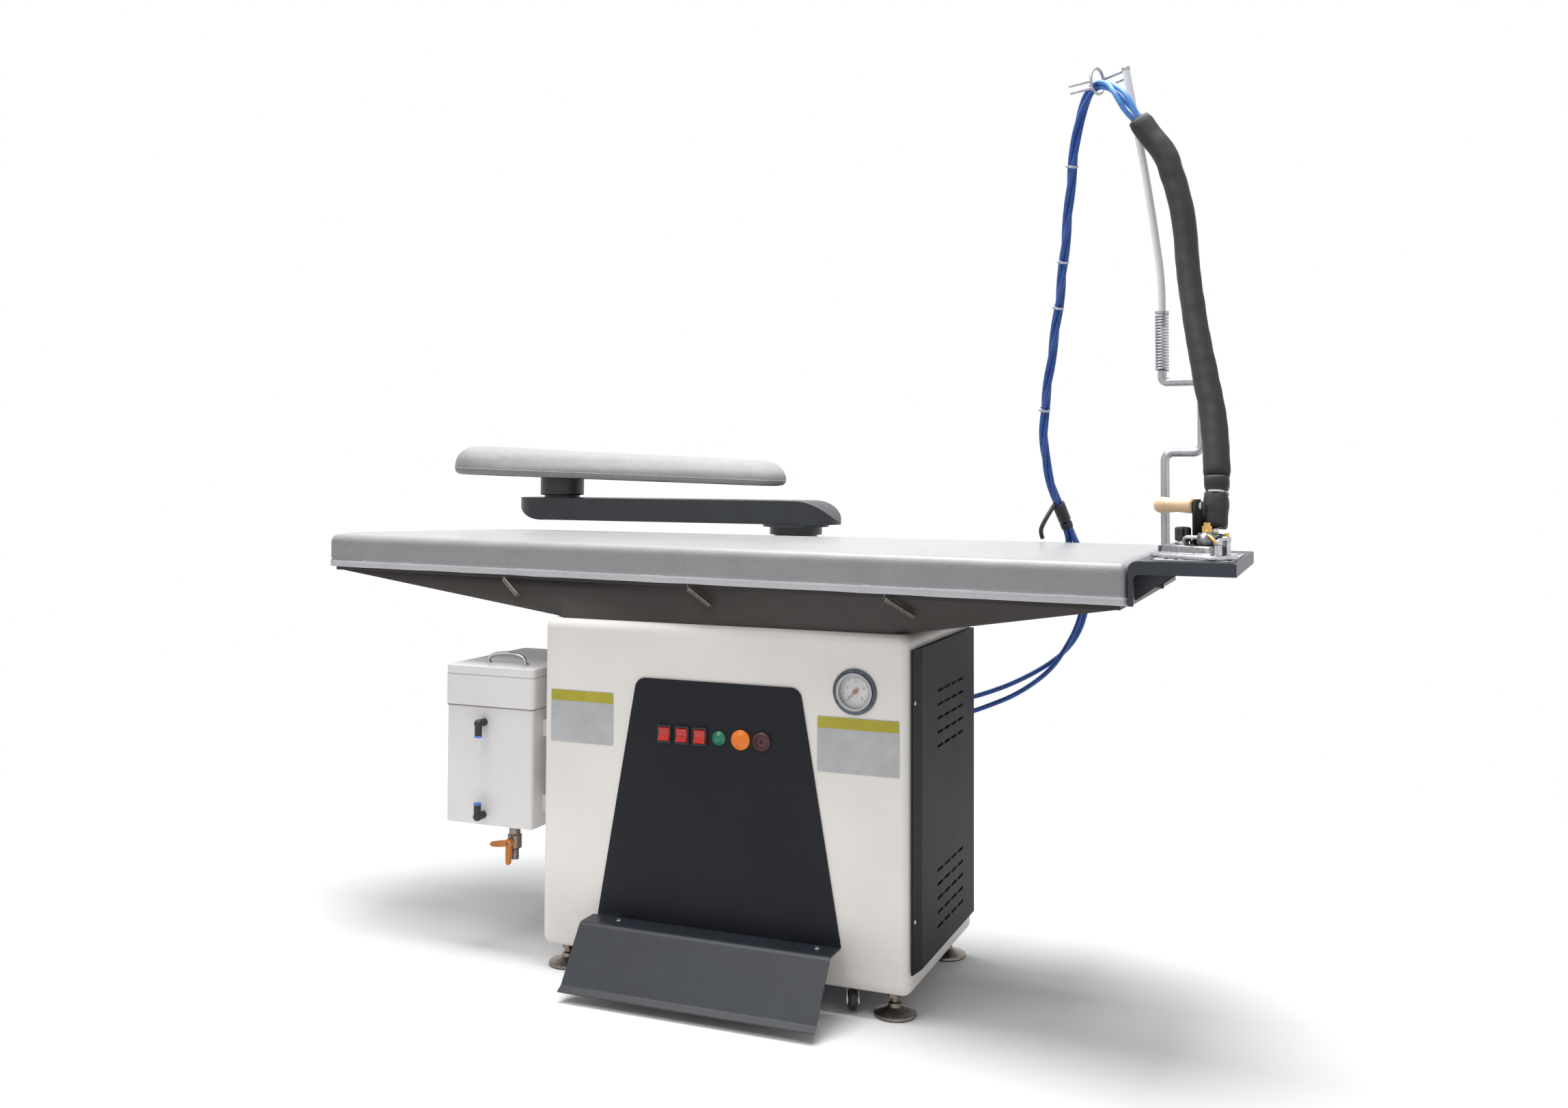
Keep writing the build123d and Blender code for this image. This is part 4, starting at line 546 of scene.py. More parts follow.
def cornerOf(points, i):
    # a corner with the ways into it and out of it
    a, b, c = (Vector(points[(i + k) % len(points)]) for k in (-1, 0, 1))
    return b, (b - a).normalized(), (c - b).normalized()


def leftOf(way):
    return Vector((-way.y, way.x))


def coverPlan(inset):
    # closed plan with rounded corners, drawn in by inset; always the same number of points
    corners = tableCover["corners"]
    count = len(corners)
    moved = []
    for i in range(count):
        b, u, v = cornerOf(corners, i)
        bend = leftOf(u) + leftOf(v)
        moved.append(b + bend * (inset * 2 / bend.length_squared))
    turned = [cornerOf(moved, i) for i in range(count)]
    radii = [max(r - inset, 2.0) for r in tableCover["radii"]]
    reach = [r * math.tan(u.angle(v) / 2) for r, (b, u, v) in zip(radii, turned)]
    out = []
    for i, (b, u, v) in enumerate(turned):
        runSteps, bendSteps = tableCover["steps"][i]
        start = b - u * reach[i]
        middle = start + leftOf(u) * radii[i]
        out += [middle + Matrix.Rotation(u.angle(v) * k / bendSteps, 2) @ (start - middle) for k in range(bendSteps)]
        after = (i + 1) % count
        out += straight(b + v * reach[i], moved[after] - v * reach[after], runSteps)
    return out


def coverRing(inset, z, wave=0.0, gather=0.0, rise=0.0):
    # one turn of the cloth: soft waves along the sides, pleats round the tip and creases near the rest
    t = tableCover
    plan = coverPlan(inset)
    points, run = [], 0.0
    for i, p in enumerate(plan):
        after, before = plan[(i + 1) % len(plan)], plan[i - 1]
        run += (p - before).length
        move = wave * (0.5 + 0.5 * noise.noise(Vector((run / 70, z / 60, 3.0)))) * 1.4
        nearTip = share(-p.x, 880, 90)
        wander = 1.3 * noise.noise(Vector((run / 40, 0, 9)))
        pleat = 0.5 + 0.5 * math.sin(run / t["gatherPitch"] * 2 * math.pi + wander)
        nearRest = share(p.x, 690, 70)
        crease = (0.5 + 0.5 * math.sin(run / t["creasePitch"] * 2 * math.pi)) ** 3
        move += gather * (nearTip * pleat + 0.35 * nearRest * crease)
        lift = rise * noise.noise(Vector((run / 130, 5.0, 1.0)))
        points.append(spot(*(p + leftOf((after - before).normalized()) * move), z + lift))
    return points


def coverRings():
    t = tableCover
    top, low, s, proud, band, cloth = (t[key] for key in ("top", "low", "shoulder", "hemProud", "hemBand", "cloth"))
    w, g = t["sideWave"], t["gatherDepth"]
    outer = [coverRing(inset, low + up, w, g * deep, rise) for inset, up, deep, rise in (
        (proud + 1.6, 1.5, 0.3, 1.2), (proud + 0.4, 0.2, 0.3, 1.2), (0, 1.6, 0.3, 1.2), (0, band - 1.5, 0.5, 0.8),
        (proud * 0.4, band, 0.7, 0.8), (proud + 0.6, band + 1, 1.0, 0.8))]
    outer += [coverRing(proud, low + up, w * 1.2, g * (1 - up / 80)) for up in (21, 29, 38, 46)]
    for k in range(7):
        a = math.radians(90 * k / 6)
        outer.append(coverRing(0.6 + s * (1 - math.cos(a)), top - s + s * math.sin(a) - 0.2, w * 0.6 * math.cos(a),
                               g * 0.35 * math.cos(a)))
    outer += [coverRing(inset, top - 0.2 - 0.5 * noise.noise(Vector((inset, 2, 2)))) for inset in (26, 40, 62, 95)]
    inner = [coverRing(inset, z) for inset, z in (
        (60, top - 3.0), (cloth + 14, top - 3.2), (cloth + 5, top - 7), (cloth + 0.7, top - s),
        (cloth + 0.9, low + 12), (cloth + 3.4, low + 1.6))]
    return inner + outer


def coverLine(height, inset):
    return [spot(p.x, p.y, height) for p in coverPlan(inset)]


print("table cover")
cover = skinned("tableCover", coverRings(), [coverCloth, hemCloth])
slotWhere(cover, lambda c: c.z / mm < tableCover["low"] + tableCover["hemBand"] + 0.4)
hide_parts("table_cover")
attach(cover, "machine")
hemSeam = stitchRow("hemStitches", coverLine(tableCover["low"] + 11.0, 0.1), tableCover["stitch"])
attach(hemSeam, "machine")
foamTop = tableCover["top"] - 3.3
foam = skinned("foamPad", [coverLine(foamTop - down, inset) for down, inset in tableCover["foam"]], [foamCore])
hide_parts("foam_pad")
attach(foam, "machine")


# Sleeve pad

sleevePad = {
    "hub": (-704.0, 604.0, 978.0), "tilt": 1.6, "taper": 0.9, "left": 300.0, "right": 600.0, "wide": 112.0,
    "narrow": 66.0, "high": 64.0, "boardInset": 16.0, "boardThick": 10.0, "bendSteps": 26, "sideSteps": 70,
    "crown": [(-11, 0.8), (-6.5, 3), (-3, 7), (-1.0, 12), (-0.3, 18.5), (-1.0, 26), (-3.0, 33.5), (-6.6, 40.5),
              (-11.6, 46.8), (-18, 52.2), (-26, 56.8), (-35.5, 60.2), (-46, 62.4), (-57, 63.4)],
    "voxel": 5.5, "pressure": 4.0, "frames": 20, "seam": 21.0, "cap": 4.5, "sag": 0.9, "gather": 2.2,
    "stitch": {"Spacing": 0.006, "Length": 0.0042, "Thickness": 0.0006},
}


def padRing(grow, z, follow=1.0):
    # pad outline at a height; follow says how much of the top's slope it takes
    p = sleevePad
    r0, r1 = p["wide"] + grow, p["narrow"] + grow
    x0, x1 = -p["left"] - grow + r0, p["right"] + grow - r1
    lean = math.degrees(math.asin((r0 - r1) / (x1 - x0)))
    right = arc(x1, 0, r1, lean - 90, 90 - lean, p["bendSteps"])
    left = arc(x0, 0, r0, 90 - lean, 270 + lean, p["bendSteps"])
    plan = right[:-1] + straight(right[-1], left[0], p["sideSteps"])
    plan += left[:-1] + straight(left[-1], right[0], p["sideSteps"])
    place = Matrix.Rotation(math.radians(p["tilt"]), 4, "Y")
    slope = follow * math.tan(math.radians(p["taper"])) * z / p["high"]
    return [spot(*(Vector(p["hub"]) + place @ Vector((x, y, z - slope * x)))) for x, y in plan]


def padRings():
    # from under the board, round its edge and over the crown
    inset, thick = sleevePad["boardInset"] - 0.3, sleevePad["boardThick"] + 0.3
    under = [(-60, thick), (-inset - 1, thick), (-inset, thick - 1), (-inset, 1.2), (-inset + 2, 0.4)]
    return [padRing(grow, z, 0.0) for grow, z in under] + [padRing(grow, z) for grow, z in sleevePad["crown"]]


def swollen(source):
    # the pad remeshed evenly, blown up as cloth above its seam, its movement capped, then smoothed
    p = sleevePad
    obj = placed("swollen", source.data.copy())
    obj.data.remesh_voxel_size = p["voxel"] * mm
    with bpy.context.temp_override(active_object=obj, object=obj, selected_editable_objects=[obj]):
        bpy.ops.object.voxel_remesh()
    before = [v.co.copy() for v in obj.data.vertices]
    cloth = obj.modifiers.new("swell", "CLOTH")
    cloth.settings.quality = 5
    cloth.settings.use_pressure = True
    cloth.settings.uniform_pressure_force = p["pressure"]
    cloth.settings.effector_weights.gravity = 0
    scene = bpy.context.scene
    for step in range(p["frames"]):
        scene.frame_set(step + 1)
    blown = plainMesh(obj, True)
    obj.modifiers.remove(cloth)
    scene.frame_set(1)
    obj.data = blown
    for v, start in zip(blown.vertices, before):
        move = v.co - start
        cap = p["cap"] * mm * share((start.z - padHub.z) / mm, p["seam"], 16)
        if move.length > cap:
            v.co = start + move * (cap / move.length)
    eased = obj.modifiers.new("ease", "SMOOTH")
    eased.factor, eased.iterations = 0.5, 6
    smooth = obj.modifiers.new("smooth", "SUBSURF")
    smooth.levels = smooth.render_levels = 1
    final = plainMesh(obj, True)
    obj.modifiers.clear()
    obj.data = final
    final.polygons.foreach_set("use_smooth", [True] * len(final.polygons))
    bpy.data.objects.remove(source)
    obj.name = "sleevePad"
    return obj


print("sleeve pad")
padHub = spot(*sleevePad["hub"])
pad = skinned("sleevePad", padRings(), [padCloth])
pad = swollen(pad)
for v in pad.data.vertices:
    n = noise.noise(Vector((v.co.x * 14, v.co.y * 14, v.co.z * 30)))
    v.co.z -= sleevePad["sag"] * mm * (0.5 + n)
    # cloth gathered over the wide end: a few deep folds that run out along the pad
    out = v.co - padHub
    nearEnd = share(-out.x / mm, 205, 70)
    if nearEnd > 0 and out.z > 4 * mm:
        fold = math.sin(out.y / mm / 7.5 + 2.2 * noise.noise(Vector((out.x * 9, out.y * 22, 3.0))))
        sink = sleevePad["gather"] * mm * nearEnd * (0.5 + 0.5 * fold) * share(out.z / mm, 6, 30)
        v.co -= Vector((out.x, out.y, 0)).normalized() * sink
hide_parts("sleeve_pad")
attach(pad, "sleeve_board")
padSeam = stitchRow("padSeamStitches", padRing(-0.2, 15.5), sleevePad["stitch"])
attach(padSeam, "sleeve_board")


# Hoses

hoses = {
    "bundle": [(774.5, 167, 1649.5), (757.5, 168.2, 1675), (738, 169.4, 1703), (714, 190, 1731), (682, 201, 1730),
               (657, 207, 1673), (643, 226, 1606), (632, 249, 1542), (620, 278, 1478), (607, 308, 1412),
               (594, 340, 1348), (578, 372, 1284), (562, 403, 1218), (545, 436, 1150), (533, 468, 1084),
               (532, 496, 1018), (542, 524, 956), (556, 546, 912), (566, 557, 880)],
    "strand": 4.9, "offset": 5.2, "spread": 4.6, "spreadRun": 74.0, "twists": 3.0, "lightUntil": 0.11,
    "sleeve": [(773.8, 167, 1650.5), (793, 165.5, 1622), (815, 161, 1591.5), (826, 158.5, 1573), (832, 156.5, 1552),
               (840, 154, 1526), (852, 148, 1478), (859, 140, 1421), (864, 131, 1362), (873, 114, 1300),
               (884, 95, 1236), (897, 75, 1168), (911, 55, 1108), (919, 34, 1050), (921, 12, 990)],
    "sleeveRadius": 22.6,
    "sleeveEnd": [(921, 11.8, 989.4), (922.3, -2.6, 950), (919, -10, 908)], "sleeveEndRadius": 22.8,
    "tail": 5.0,
    "branches": [
        [(561.6, 552.1, 876.5), (567.8, 559, 856.5), (562, 566, 836), (549, 572, 815), (537, 575, 790),
         (531, 574, 768), (528, 564, 751), (526, 547, 741), (525, 526, 740)],
        [(560.6, 562.1, 879.6), (566.8, 569, 859.6), (570, 575, 838), (571, 578, 814), (571, 577, 790),
         (570, 574, 768), (569, 564, 751), (568, 547, 741), (567, 526, 740)]],
    "tails": [
        [(570.6, 562.1, 882.7), (576.8, 569, 862.7), (586, 574, 842), (596, 577, 816), (604, 578, 784),
         (607, 577, 746), (602, 575, 704), (590, 570, 662), (570, 563, 628), (540, 550, 598), (498, 532, 570),
         (450, 514, 545), (408, 507, 528), (374, 505, 516), (346, 502, 510), (328, 492, 507), (319, 475, 505.5),
         (318.5, 455.5, 505)],
        [(571.6, 552.1, 879.6), (577.8, 559, 859.6), (586, 563, 838), (594, 566, 812), (600, 566, 780),
         (601, 564, 744), (595, 561, 704), (582, 556, 662), (564, 548, 627), (540, 534, 586), (503, 522, 552),
         (458, 510, 522), (408, 501, 500), (374, 500, 486), (346, 499, 477), (328, 490, 473), (319, 474, 470.7),
         (318.5, 455.5, 470)]],
}


def declareHose(node):
    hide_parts(node)


def strandedHose():
    # three hoses side by side in one bundle, laid with a slow twist and spread where the bundle starts
    line = routeLine(hoses["bundle"])
    run = runLength(line)
    parts = []
    for k in range(3):
        moved = []
        for (p, side, up, way), s in zip(framesAlong(line), run):
            bell = math.exp(-((s / mm - 40) / hoses["spreadRun"] * 2) ** 2)
            turn = 2 * math.pi * (hoses["twists"] * s / run[-1] + k / 3)
            moved.append(p + offset(side, up, (hoses["offset"] + hoses["spread"] * bell) * mm, turn))
        parts.append(tubeMesh("strand", moved, hoses["strand"], [lightHose, darkHose], 12,
                              lambda i: int(run[i] >= hoses["lightUntil"] * run[-1])))
    return joined("hoseBundle", parts), line


def nearHeight(line, z):
    # index of the point nearest a height, past the first sixth of the line, where heights repeat
    return min(range(len(line) // 6, len(line)), key=lambda i: abs(line[i].z - z * mm))


print("hoses")
bundle, bundleLine = strandedHose()
ties = []
for z in (1589, 1413, 1327, 1126):
    i = nearHeight(bundleLine, z)
    p, way = bundleLine[i], wayAt(bundleLine, i)
    side = way.orthogonal().normalized()
    tail = [p + side * (13 * mm) + way.cross(side) * (k * mm) for k in (1, 5, 9)]
    ties += [bandRound("tie", p, way, 10.1, 11.3, 4.6, tiePlastic),
             bandRound("lock", p + side * (12.6 * mm), way, 0.4, 2.6, 5.0, tiePlastic, 8),
             tubeMesh("tail", tail, 0.9, [tiePlastic], 6)]
for z, width in ((915, 40), (886, 12)):
    i = nearHeight(bundleLine, z)
    ties.append(bandRound("tape", bundleLine[i], wayAt(bundleLine, i), 10.2, 12.4 + width / 34, width, darkTie, 28,
                          1.4))
fork = routeLine([(545, 528, 931), (534, 512, 908), (524, 505, 888), (518, 505, 872), (522, 511, 858)])
ties.append(tubeMesh("forkTape", fork, 4.6, [darkTie], 10))
hoseTies = joined("hoseTies", ties)
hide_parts("hose_ties")
declareHose("hose_bundle")
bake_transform(bundle)
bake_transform(hoseTies)


def sleeveRadius(s, left, a):
    # loose folds, a seam and both ends drawn in; s and left are the runs behind and ahead
    folds = noise.noise(Vector((s / 26, 1.6 * math.cos(a), 1.6 * math.sin(a))))
    broad = noise.noise(Vector((s / 90, 4.0, 0.8 * math.cos(a))))
    seam = 1.6 * math.exp(-((a - 4.2) / 0.16) ** 2)
    flat = 1 + 0.05 * math.cos(2 * a + s / 160)
    ends = max(0.0, min(1.0, s / 12, (left + 1) / 12))
    return (hoses["sleeveRadius"] - 0.6 + 1.3 * folds + 1.2 * broad + seam) * flat - 2.6 * (1 - ends)


def sleeveEndRadius(s, left, a):
    # a boxy end, drawn in under its tie and at its rim
    folds = noise.noise(Vector((s / 18, 2 * math.cos(a), 2 * math.sin(a) + 7)))
    tied = 3.4 * math.exp(-((s - 24) / 7) ** 2)
    rim = 2.0 * math.exp(-left / 3)
    return (hoses["sleeveEndRadius"] - 0.8 + 1.3 * folds) * (1 + 0.07 * math.cos(4 * a)) - tied - rim


def clothTube(name, points, radiusAt):
    line = routeLine(points)
    run = [s / mm for s in runLength(line)]
    return tubeMesh(name, line, lambda i, a: radiusAt(run[i], run[-1] - run[i], a), [sleeveCloth], 28), line


sleeve, sleeveLine = clothTube("hoseSleeve", hoses["sleeve"], sleeveRadius)
sleeveEnd, sleeveEndLine = clothTube("hoseSleeveEnd", hoses["sleeveEnd"], sleeveEndRadius)
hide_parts("hose_sleeve_end")
tiedAt = nearHeight(sleeveEndLine, 965.5)
sleeveTie = bandRound("sleeveTie", sleeveEndLine[tiedAt], wayAt(sleeveEndLine, tiedAt), 18.6, 20.6, 3.2, tiePlastic)
for piece in (sleeveEnd, sleeveTie):
    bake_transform(piece)
declareHose("hose_sleeve")
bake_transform(sleeve)

for index, route in enumerate(hoses["branches"] + hoses["tails"]):
    line = routeLine(route)
    tail = tubeMesh("hoseTail%d" % (index + 1), line, hoses["tail"], [darkHose], 14)
    declareHose("hose_tails")
    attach(tail, "machine")


# Blank plates on the cabinet's front

plates = {"right": (206.0, 366.0, 441.0, 544.0), "left": (-366.0, -224.0, 454.0, 558.0), "gap": 0.1, "thick": 0.5,
          "round": 3.0, "border": 1.2, "band": 22.0, "bandRound": 2.0, "bandThick": 0.2}

print("plates")
plateFace = -plates["gap"] - plates["thick"]
for side in ("left", "right"):
    x0, x1, z0, z1 = plates[side]
    edge, outline = plates["border"], roundedOutline(x0, x1, z0, z1, plates["round"])
    base = alongY("plateBase", outline, -plates["gap"], plateFace, [plateGrey])
    header = roundedOutline(x0 + edge, x1 - edge, z1 - plates["band"], z1 - edge, plates["bandRound"])
    band = alongY("plateBand", header, plateFace, plateFace - plates["bandThick"], [plateYellow])
    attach(joined(side + "Plate", [base, band]), "machine")


# Screws with a cross recess, laid on points that carry the way they face

screwGroups = [
    {"name": "panelScrews", "body": "machine", "metal": chrome, "places": [
        ((390.2, 15.9, 576), (1, 0, 0), 4.2), ((390.2, 15.9, 181), (1, 0, 0), 4.2),
        ((792.3, -29, 814), (1, 0, 0), 6.0), ((792.3, 267, 796), (1, 0, 0), 6.0)]},
    {"name": "gaugeScrews", "body": "machine", "metal": brass, "places": [
        ((280, -2.6, 630.2), (0, -1, 0), 2.4), ((246.9, -2.6, 572.9), (0, -1, 0), 2.4),
        ((313.1, -2.6, 572.9), (0, -1, 0), 2.4)]},
    {"name": "pedalScrews", "body": "pedal", "metal": chrome, "places": [
        ((-191, -32, 126.6), (0, 0, 1), 5.4), ((219, -32, 126.6), (0, 0, 1), 5.4)]},
]


def screwHead():
    # domed head of unit radius with a cross sunk into it
    rings = [[(math.cos(a), math.sin(a), -0.1) for a in around(72)]]
    for r in (1.0, 0.97, 0.86, 0.74, 0.62, 0.54, 0.46, 0.38, 0.3, 0.24, 0.18, 0.12, 0.06):
        high = 0.44 * math.sqrt(1 - 0.92 * r * r) + 0.02
        ring = []
        for a in around(72):
            x, y = r * math.cos(a), r * math.sin(a)
            inCross = max(abs(x), abs(y)) < 0.5 and min(abs(x), abs(y)) < 0.13
            ring.append((x, y, high - (0.3 if inCross else 0.0)))
        rings.append(ring)
    return meshObject("screwHead", *stackRings(rings), [chrome])


def screwTree():
    tree, given = repeatTree("screwHeads", [("Head", "Object", None), ("Metal", "Material", None)])
    facing = addNode(tree, "GeometryNodeInputNamedAttribute", {"Name": "facing"}, data_type="FLOAT_VECTOR")
    width = addNode(tree, "GeometryNodeInputNamedAttribute", {"Name": "radius"}, data_type="FLOAT")
    turn = addNode(tree, "FunctionNodeAlignRotationToVector", {"Vector": facing}, axis="Z")
    form = addNode(tree, "GeometryNodeObjectInfo", {"Object": given["Head"]}, "Geometry")
    return laidOut(tree, {"Points": given["Geometry"], "Instance": form, "Rotation": turn, "Scale": width},
                   given["Metal"])


print("screws")
head, headTree = screwHead(), screwTree()
for group in screwGroups:
    places, metal = group["places"], group["metal"]
    carrier = lineMesh("screwPoints", spots(point for point, facing, radius in places))
    ways = carrier.data.attributes.new("facing", "FLOAT_VECTOR", "POINT")
    ways.data.foreach_set("vector", [c for point, facing, radius in places for c in facing])
    sizes = carrier.data.attributes.new("radius", "FLOAT", "POINT")
    sizes.data.foreach_set("value", [radius * mm for point, facing, radius in places])
    heads = grown(group["name"], carrier, headTree, {"Head": head, "Metal": metal}, metal)
    if group["name"] == "panelScrews":
        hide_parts("screws")
    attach(heads, group["body"])
bpy.data.objects.remove(head)


# Tank: dark strips of painted shade under its folded edges, bow handle and the sight tube's blue collets

tank = {"handleY": 86.0, "handleX": (-572.0, -481.0), "lid": 589.0, "rise": 21.0, "sightX": -538.0, "sightY": -2.0,
        "collets": (311.0, 449.0), "box": (-632.4, -421.0, 18.6, 321.4), "corner": 9.0,
        "paintedShadeBands": ((569.0, 571.4), (505.4, 508.0))}


def bowHandle():
    x0, x1 = tank["handleX"]
    y, z = tank["handleY"], tank["lid"]
    bend = [(0, 1), (1, 8), (8, 15), (24, tank["rise"] - 2)]
    points = [(x0 + across, y, z + up) for across, up in bend] + [((x0 + x1) / 2, y, z + tank["rise"])]
    points += [(x1 - across, y, z + up) for across, up in bend[::-1]]
    washers = [turnedPiece("washer", [(0, 0.1), (8, 0.1), (8, 1.2), (6.5, 2.4), (0, 2.4)],
                           Matrix.Translation(spot(x, y, z)), [chrome], 28) for x in (x0, x1)]
    return joined("lidHandle", [tubeMesh("bow", routeLine(points), 4.0, [chrome], 16)] + washers)


def revealStrip(name, z0, z1):
    # narrow dark band round the tank under a folded edge: painted shade where the edge's shadow falls
    deep = 1.2
    rings = [[spot(x, y, z) for x, y in roundedOutline(*tank["box"], tank["corner"], inset)]
             for inset, z in ((deep, z0), (0, z0), (0, z1), (deep, z1))]
    return skinned(name, rings, [revealShade], False, True)


print("tank fittings")
upright = Vector((0, 0, 1))
# dark strips of painted shade under the lid's lip and under the band
for index, heights in enumerate(tank["paintedShadeBands"]):
    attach(revealStrip("tankReveal%d" % (index + 1), *heights), "machine")
handleBow = bowHandle()
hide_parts("lid_handle")
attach(handleBow, "lid")
for index, z in enumerate(tank["collets"]):
    place = spot(tank["sightX"], tank["sightY"], z)
    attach(bandRound("collet%d" % (index + 1), place, upright, 5.2, 8.2, 4.0, colletBlue), "machine")


# Gauge: printed scale, figures and the pointer's cap

gaugeFace = {"x": 280.0, "z": 592.0, "dialY": 4.5, "radius": 27.5, "marks": 41, "sweep": 270.0, "rim": 35.0,
             "print": 0.12, "figures": 17.5, "figureSize": 7.0}
gaugeAxis = spot(gaugeFace["x"], 0, gaugeFace["z"])


def onBezel(c):
    out = c - gaugeAxis
    return math.hypot(out.x, out.z) < gaugeFace["rim"] * mm and out.y < 0


secondSlot("gauge_case", plateGrey, onBezel)


def tickTree():
    # marks round part of a circle, every fifth one longer
    tree, given = repeatTree("ticks", [
        ("Radius", "Float", 0.0275), ("Count", "Int", 41), ("Sweep", "Float", 4.712), ("Long", "Float", 0.0050),
        ("Short", "Float", 0.0026), ("Ink", "Material", None)])
    index = addNode(tree, "GeometryNodeInputIndex")
    last = mathOf(tree, "SUBTRACT", given["Count"], 1.0)
    angle = mathOf(tree, "MULTIPLY", mathOf(tree, "DIVIDE", index, last), given["Sweep"])
    major = mathOf(tree, "LESS_THAN", mathOf(tree, "MODULO", index, 5.0), 0.5)
    extra = mathOf(tree, "SUBTRACT", given["Long"], given["Short"])
    reach = mathOf(tree, "MULTIPLY_ADD", major, extra, given["Short"])
    inner = mathOf(tree, "SUBTRACT", given["Radius"], reach)
    line = addNode(tree, "GeometryNodeMeshLine", {"Count": given["Count"]})
    cube = addNode(tree, "GeometryNodeMeshCube", {"Size": (1.0, 1.0, 1.0)})
    mark = addNode(tree, "GeometryNodeTransform", {"Geometry": cube, "Translation": (0.5, 0, 0)})
    turn = addNode(tree, "ShaderNodeCombineXYZ", {"Z": angle})
    size = addNode(tree, "ShaderNodeCombineXYZ", {"X": reach, "Y": 0.0009, "Z": 0.0001})
    unit = addNode(tree, "ShaderNodeCombineXYZ", {"X": mathOf(tree, "COSINE", angle),
                                                  "Y": mathOf(tree, "SINE", angle)})
    place = addNode(tree, "ShaderNodeVectorMath", {0: unit, "Scale": inner}, operation="SCALE")
    laid = addNode(tree, "GeometryNodeSetPosition", {"Geometry": line, "Position": place})
    return laidOut(tree, {"Points": laid, "Instance": mark, "Rotation": turn, "Scale": size}, given["Ink"])


def gaugePlace(depthMm):
    # dial plane: local X to the right, local Y up, facing the front
    turn = Matrix.Rotation(math.radians(90), 4, "X")
    return Matrix.Translation(spot(gaugeFace["x"], gaugeFace["dialY"] - depthMm, gaugeFace["z"])) @ turn


print("gauge scale")
printed = gaugePlace(gaugeFace["print"])
ticks = grown("dialTicks", lineMesh("tickCarrier", [(0, 0, 0), (0.001, 0, 0)]), tickTree(),
              {"Radius": gaugeFace["radius"] * mm, "Count": gaugeFace["marks"],
               "Sweep": math.radians(gaugeFace["sweep"]), "Ink": blackPlastic}, blackPlastic)
ticks.data.transform(printed @ Matrix.Rotation(math.radians(-45), 4, "Z"))
figures = []
for k in range(0, 9, 2):
    text = bpy.data.curves.new("figure", "FONT")
    text.body = str(k)
    text.size = gaugeFace["figureSize"] * mm
    text.extrude = 0.05 * mm
    text.align_x, text.align_y = "CENTER", "CENTER"
    mesh = plainMesh(placed("figure", text))
    a = math.radians(225 - gaugeFace["sweep"] * k / 8)
    reach = gaugeFace["figures"] * mm
    mesh.transform(printed @ Matrix.Translation((reach * math.cos(a), reach * math.sin(a), 0)))
    mesh.materials.clear()
    mesh.materials.append(blackPlastic)
    figures.append(placed("figure", mesh))
scale = joined("dialScale", [ticks] + figures)
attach(scale, "machine")
needleCap = turnedPiece("needleCap", [(0, 0), (4.6, 0), (4.6, 0.7), (3.2, 1.5), (0, 1.8)], gaugePlace(4.75),
                        [needlePaint])
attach(needleCap, "needle")


# Iron

iron = {
    "place": (887.0, -28.0, 856.3), "turn": 155.0, "nose": 84.0, "heel": -66.0, "half": 42.0, "heelRun": 0.11,
    "gripHeight": 88.0, "gripStart": -1.7, "knob": 20.0, "knobLow": 28.4, "castFrom": 8.4,
    "sole": [(2.0, 0), (0.5, 1.0), (0.3, 5.0), (1.4, 7.0), (4.0, 8.0), (15.0, 8.8), (16.0, 11.0), (17.5, 18.0),
             (19.0, 21.5), (23.0, 23.0)],
    "pipes": [
        ([(-54, -12, 36), (-44, -16, 38), (-30, -24, 38), (-21, -30, 36)], 4.2, chrome),
        ([(-52, 12, 32), (-56, 0, 35), (-54, -12, 32)], 3.4, chrome),
        ([(-38, -24, 32), (-30, -34, 33), (-12, -30, 34), (-4, -18, 30)], 3.0, brass),
        ([(-18, 16, 36), (-4, 22, 37), (8, 18, 35), (12, 11, 24)], 3.2, chrome),
        ([(20, -6, 25), (32, -12, 24), (44, -8, 16)], 3.4, brass),
        ([(-34, 14, 40), (-46, 20, 38), (-54, 18, 26)], 3.0, brass)],
    "nuts": [
        (-21, -30, 8, 8.5, 14, zincSteel), (-21, -30, 22, 6.5, 12, chrome), (-21, -30, 34, 8.6, 9, brass),
        (-21, -30, 43, 7.4, 8, chrome), (-40, -23, 8, 6.6, 20, chrome), (-40, -23, 28, 7.6, 8, brass),
        (-54, -12, 8, 7.2, 22, zincSteel), (-54, -12, 30, 8.4, 8, chrome), (-54, -12, 38, 5.0, 6, brass),
        (-53, 13, 8, 7.0, 17, chrome), (-53, 13, 25, 8.2, 8, zincSteel), (-33, -6, 44, 7.6, 6, zincSteel),
        (-33, 10, 44, 5.6, 5, brass), (-6, -19, 20, 6.4, 12, chrome), (-6, -19, 32, 7.2, 6, zincSteel),
        (12, 11, 20, 6.2, 8, zincSteel), (8, -13, 20, 6.6, 10, chrome), (44, -8, 8, 6.4, 9, brass),
        (33, 4, 20, 5.2, 6, zincSteel)],
}
ironPlace = Matrix.Translation(spot(*iron["place"])) @ Matrix.Rotation(math.radians(iron["turn"]), 4, "Z")


def ironAt(x, y, z):
    # the iron's frame, moved to a point in it
    return ironPlace @ Matrix.Translation(Vector((x, y, z)) * mm)


def ironLocal(x, y, z):
    return ironAt(x, y, z).to_translation()


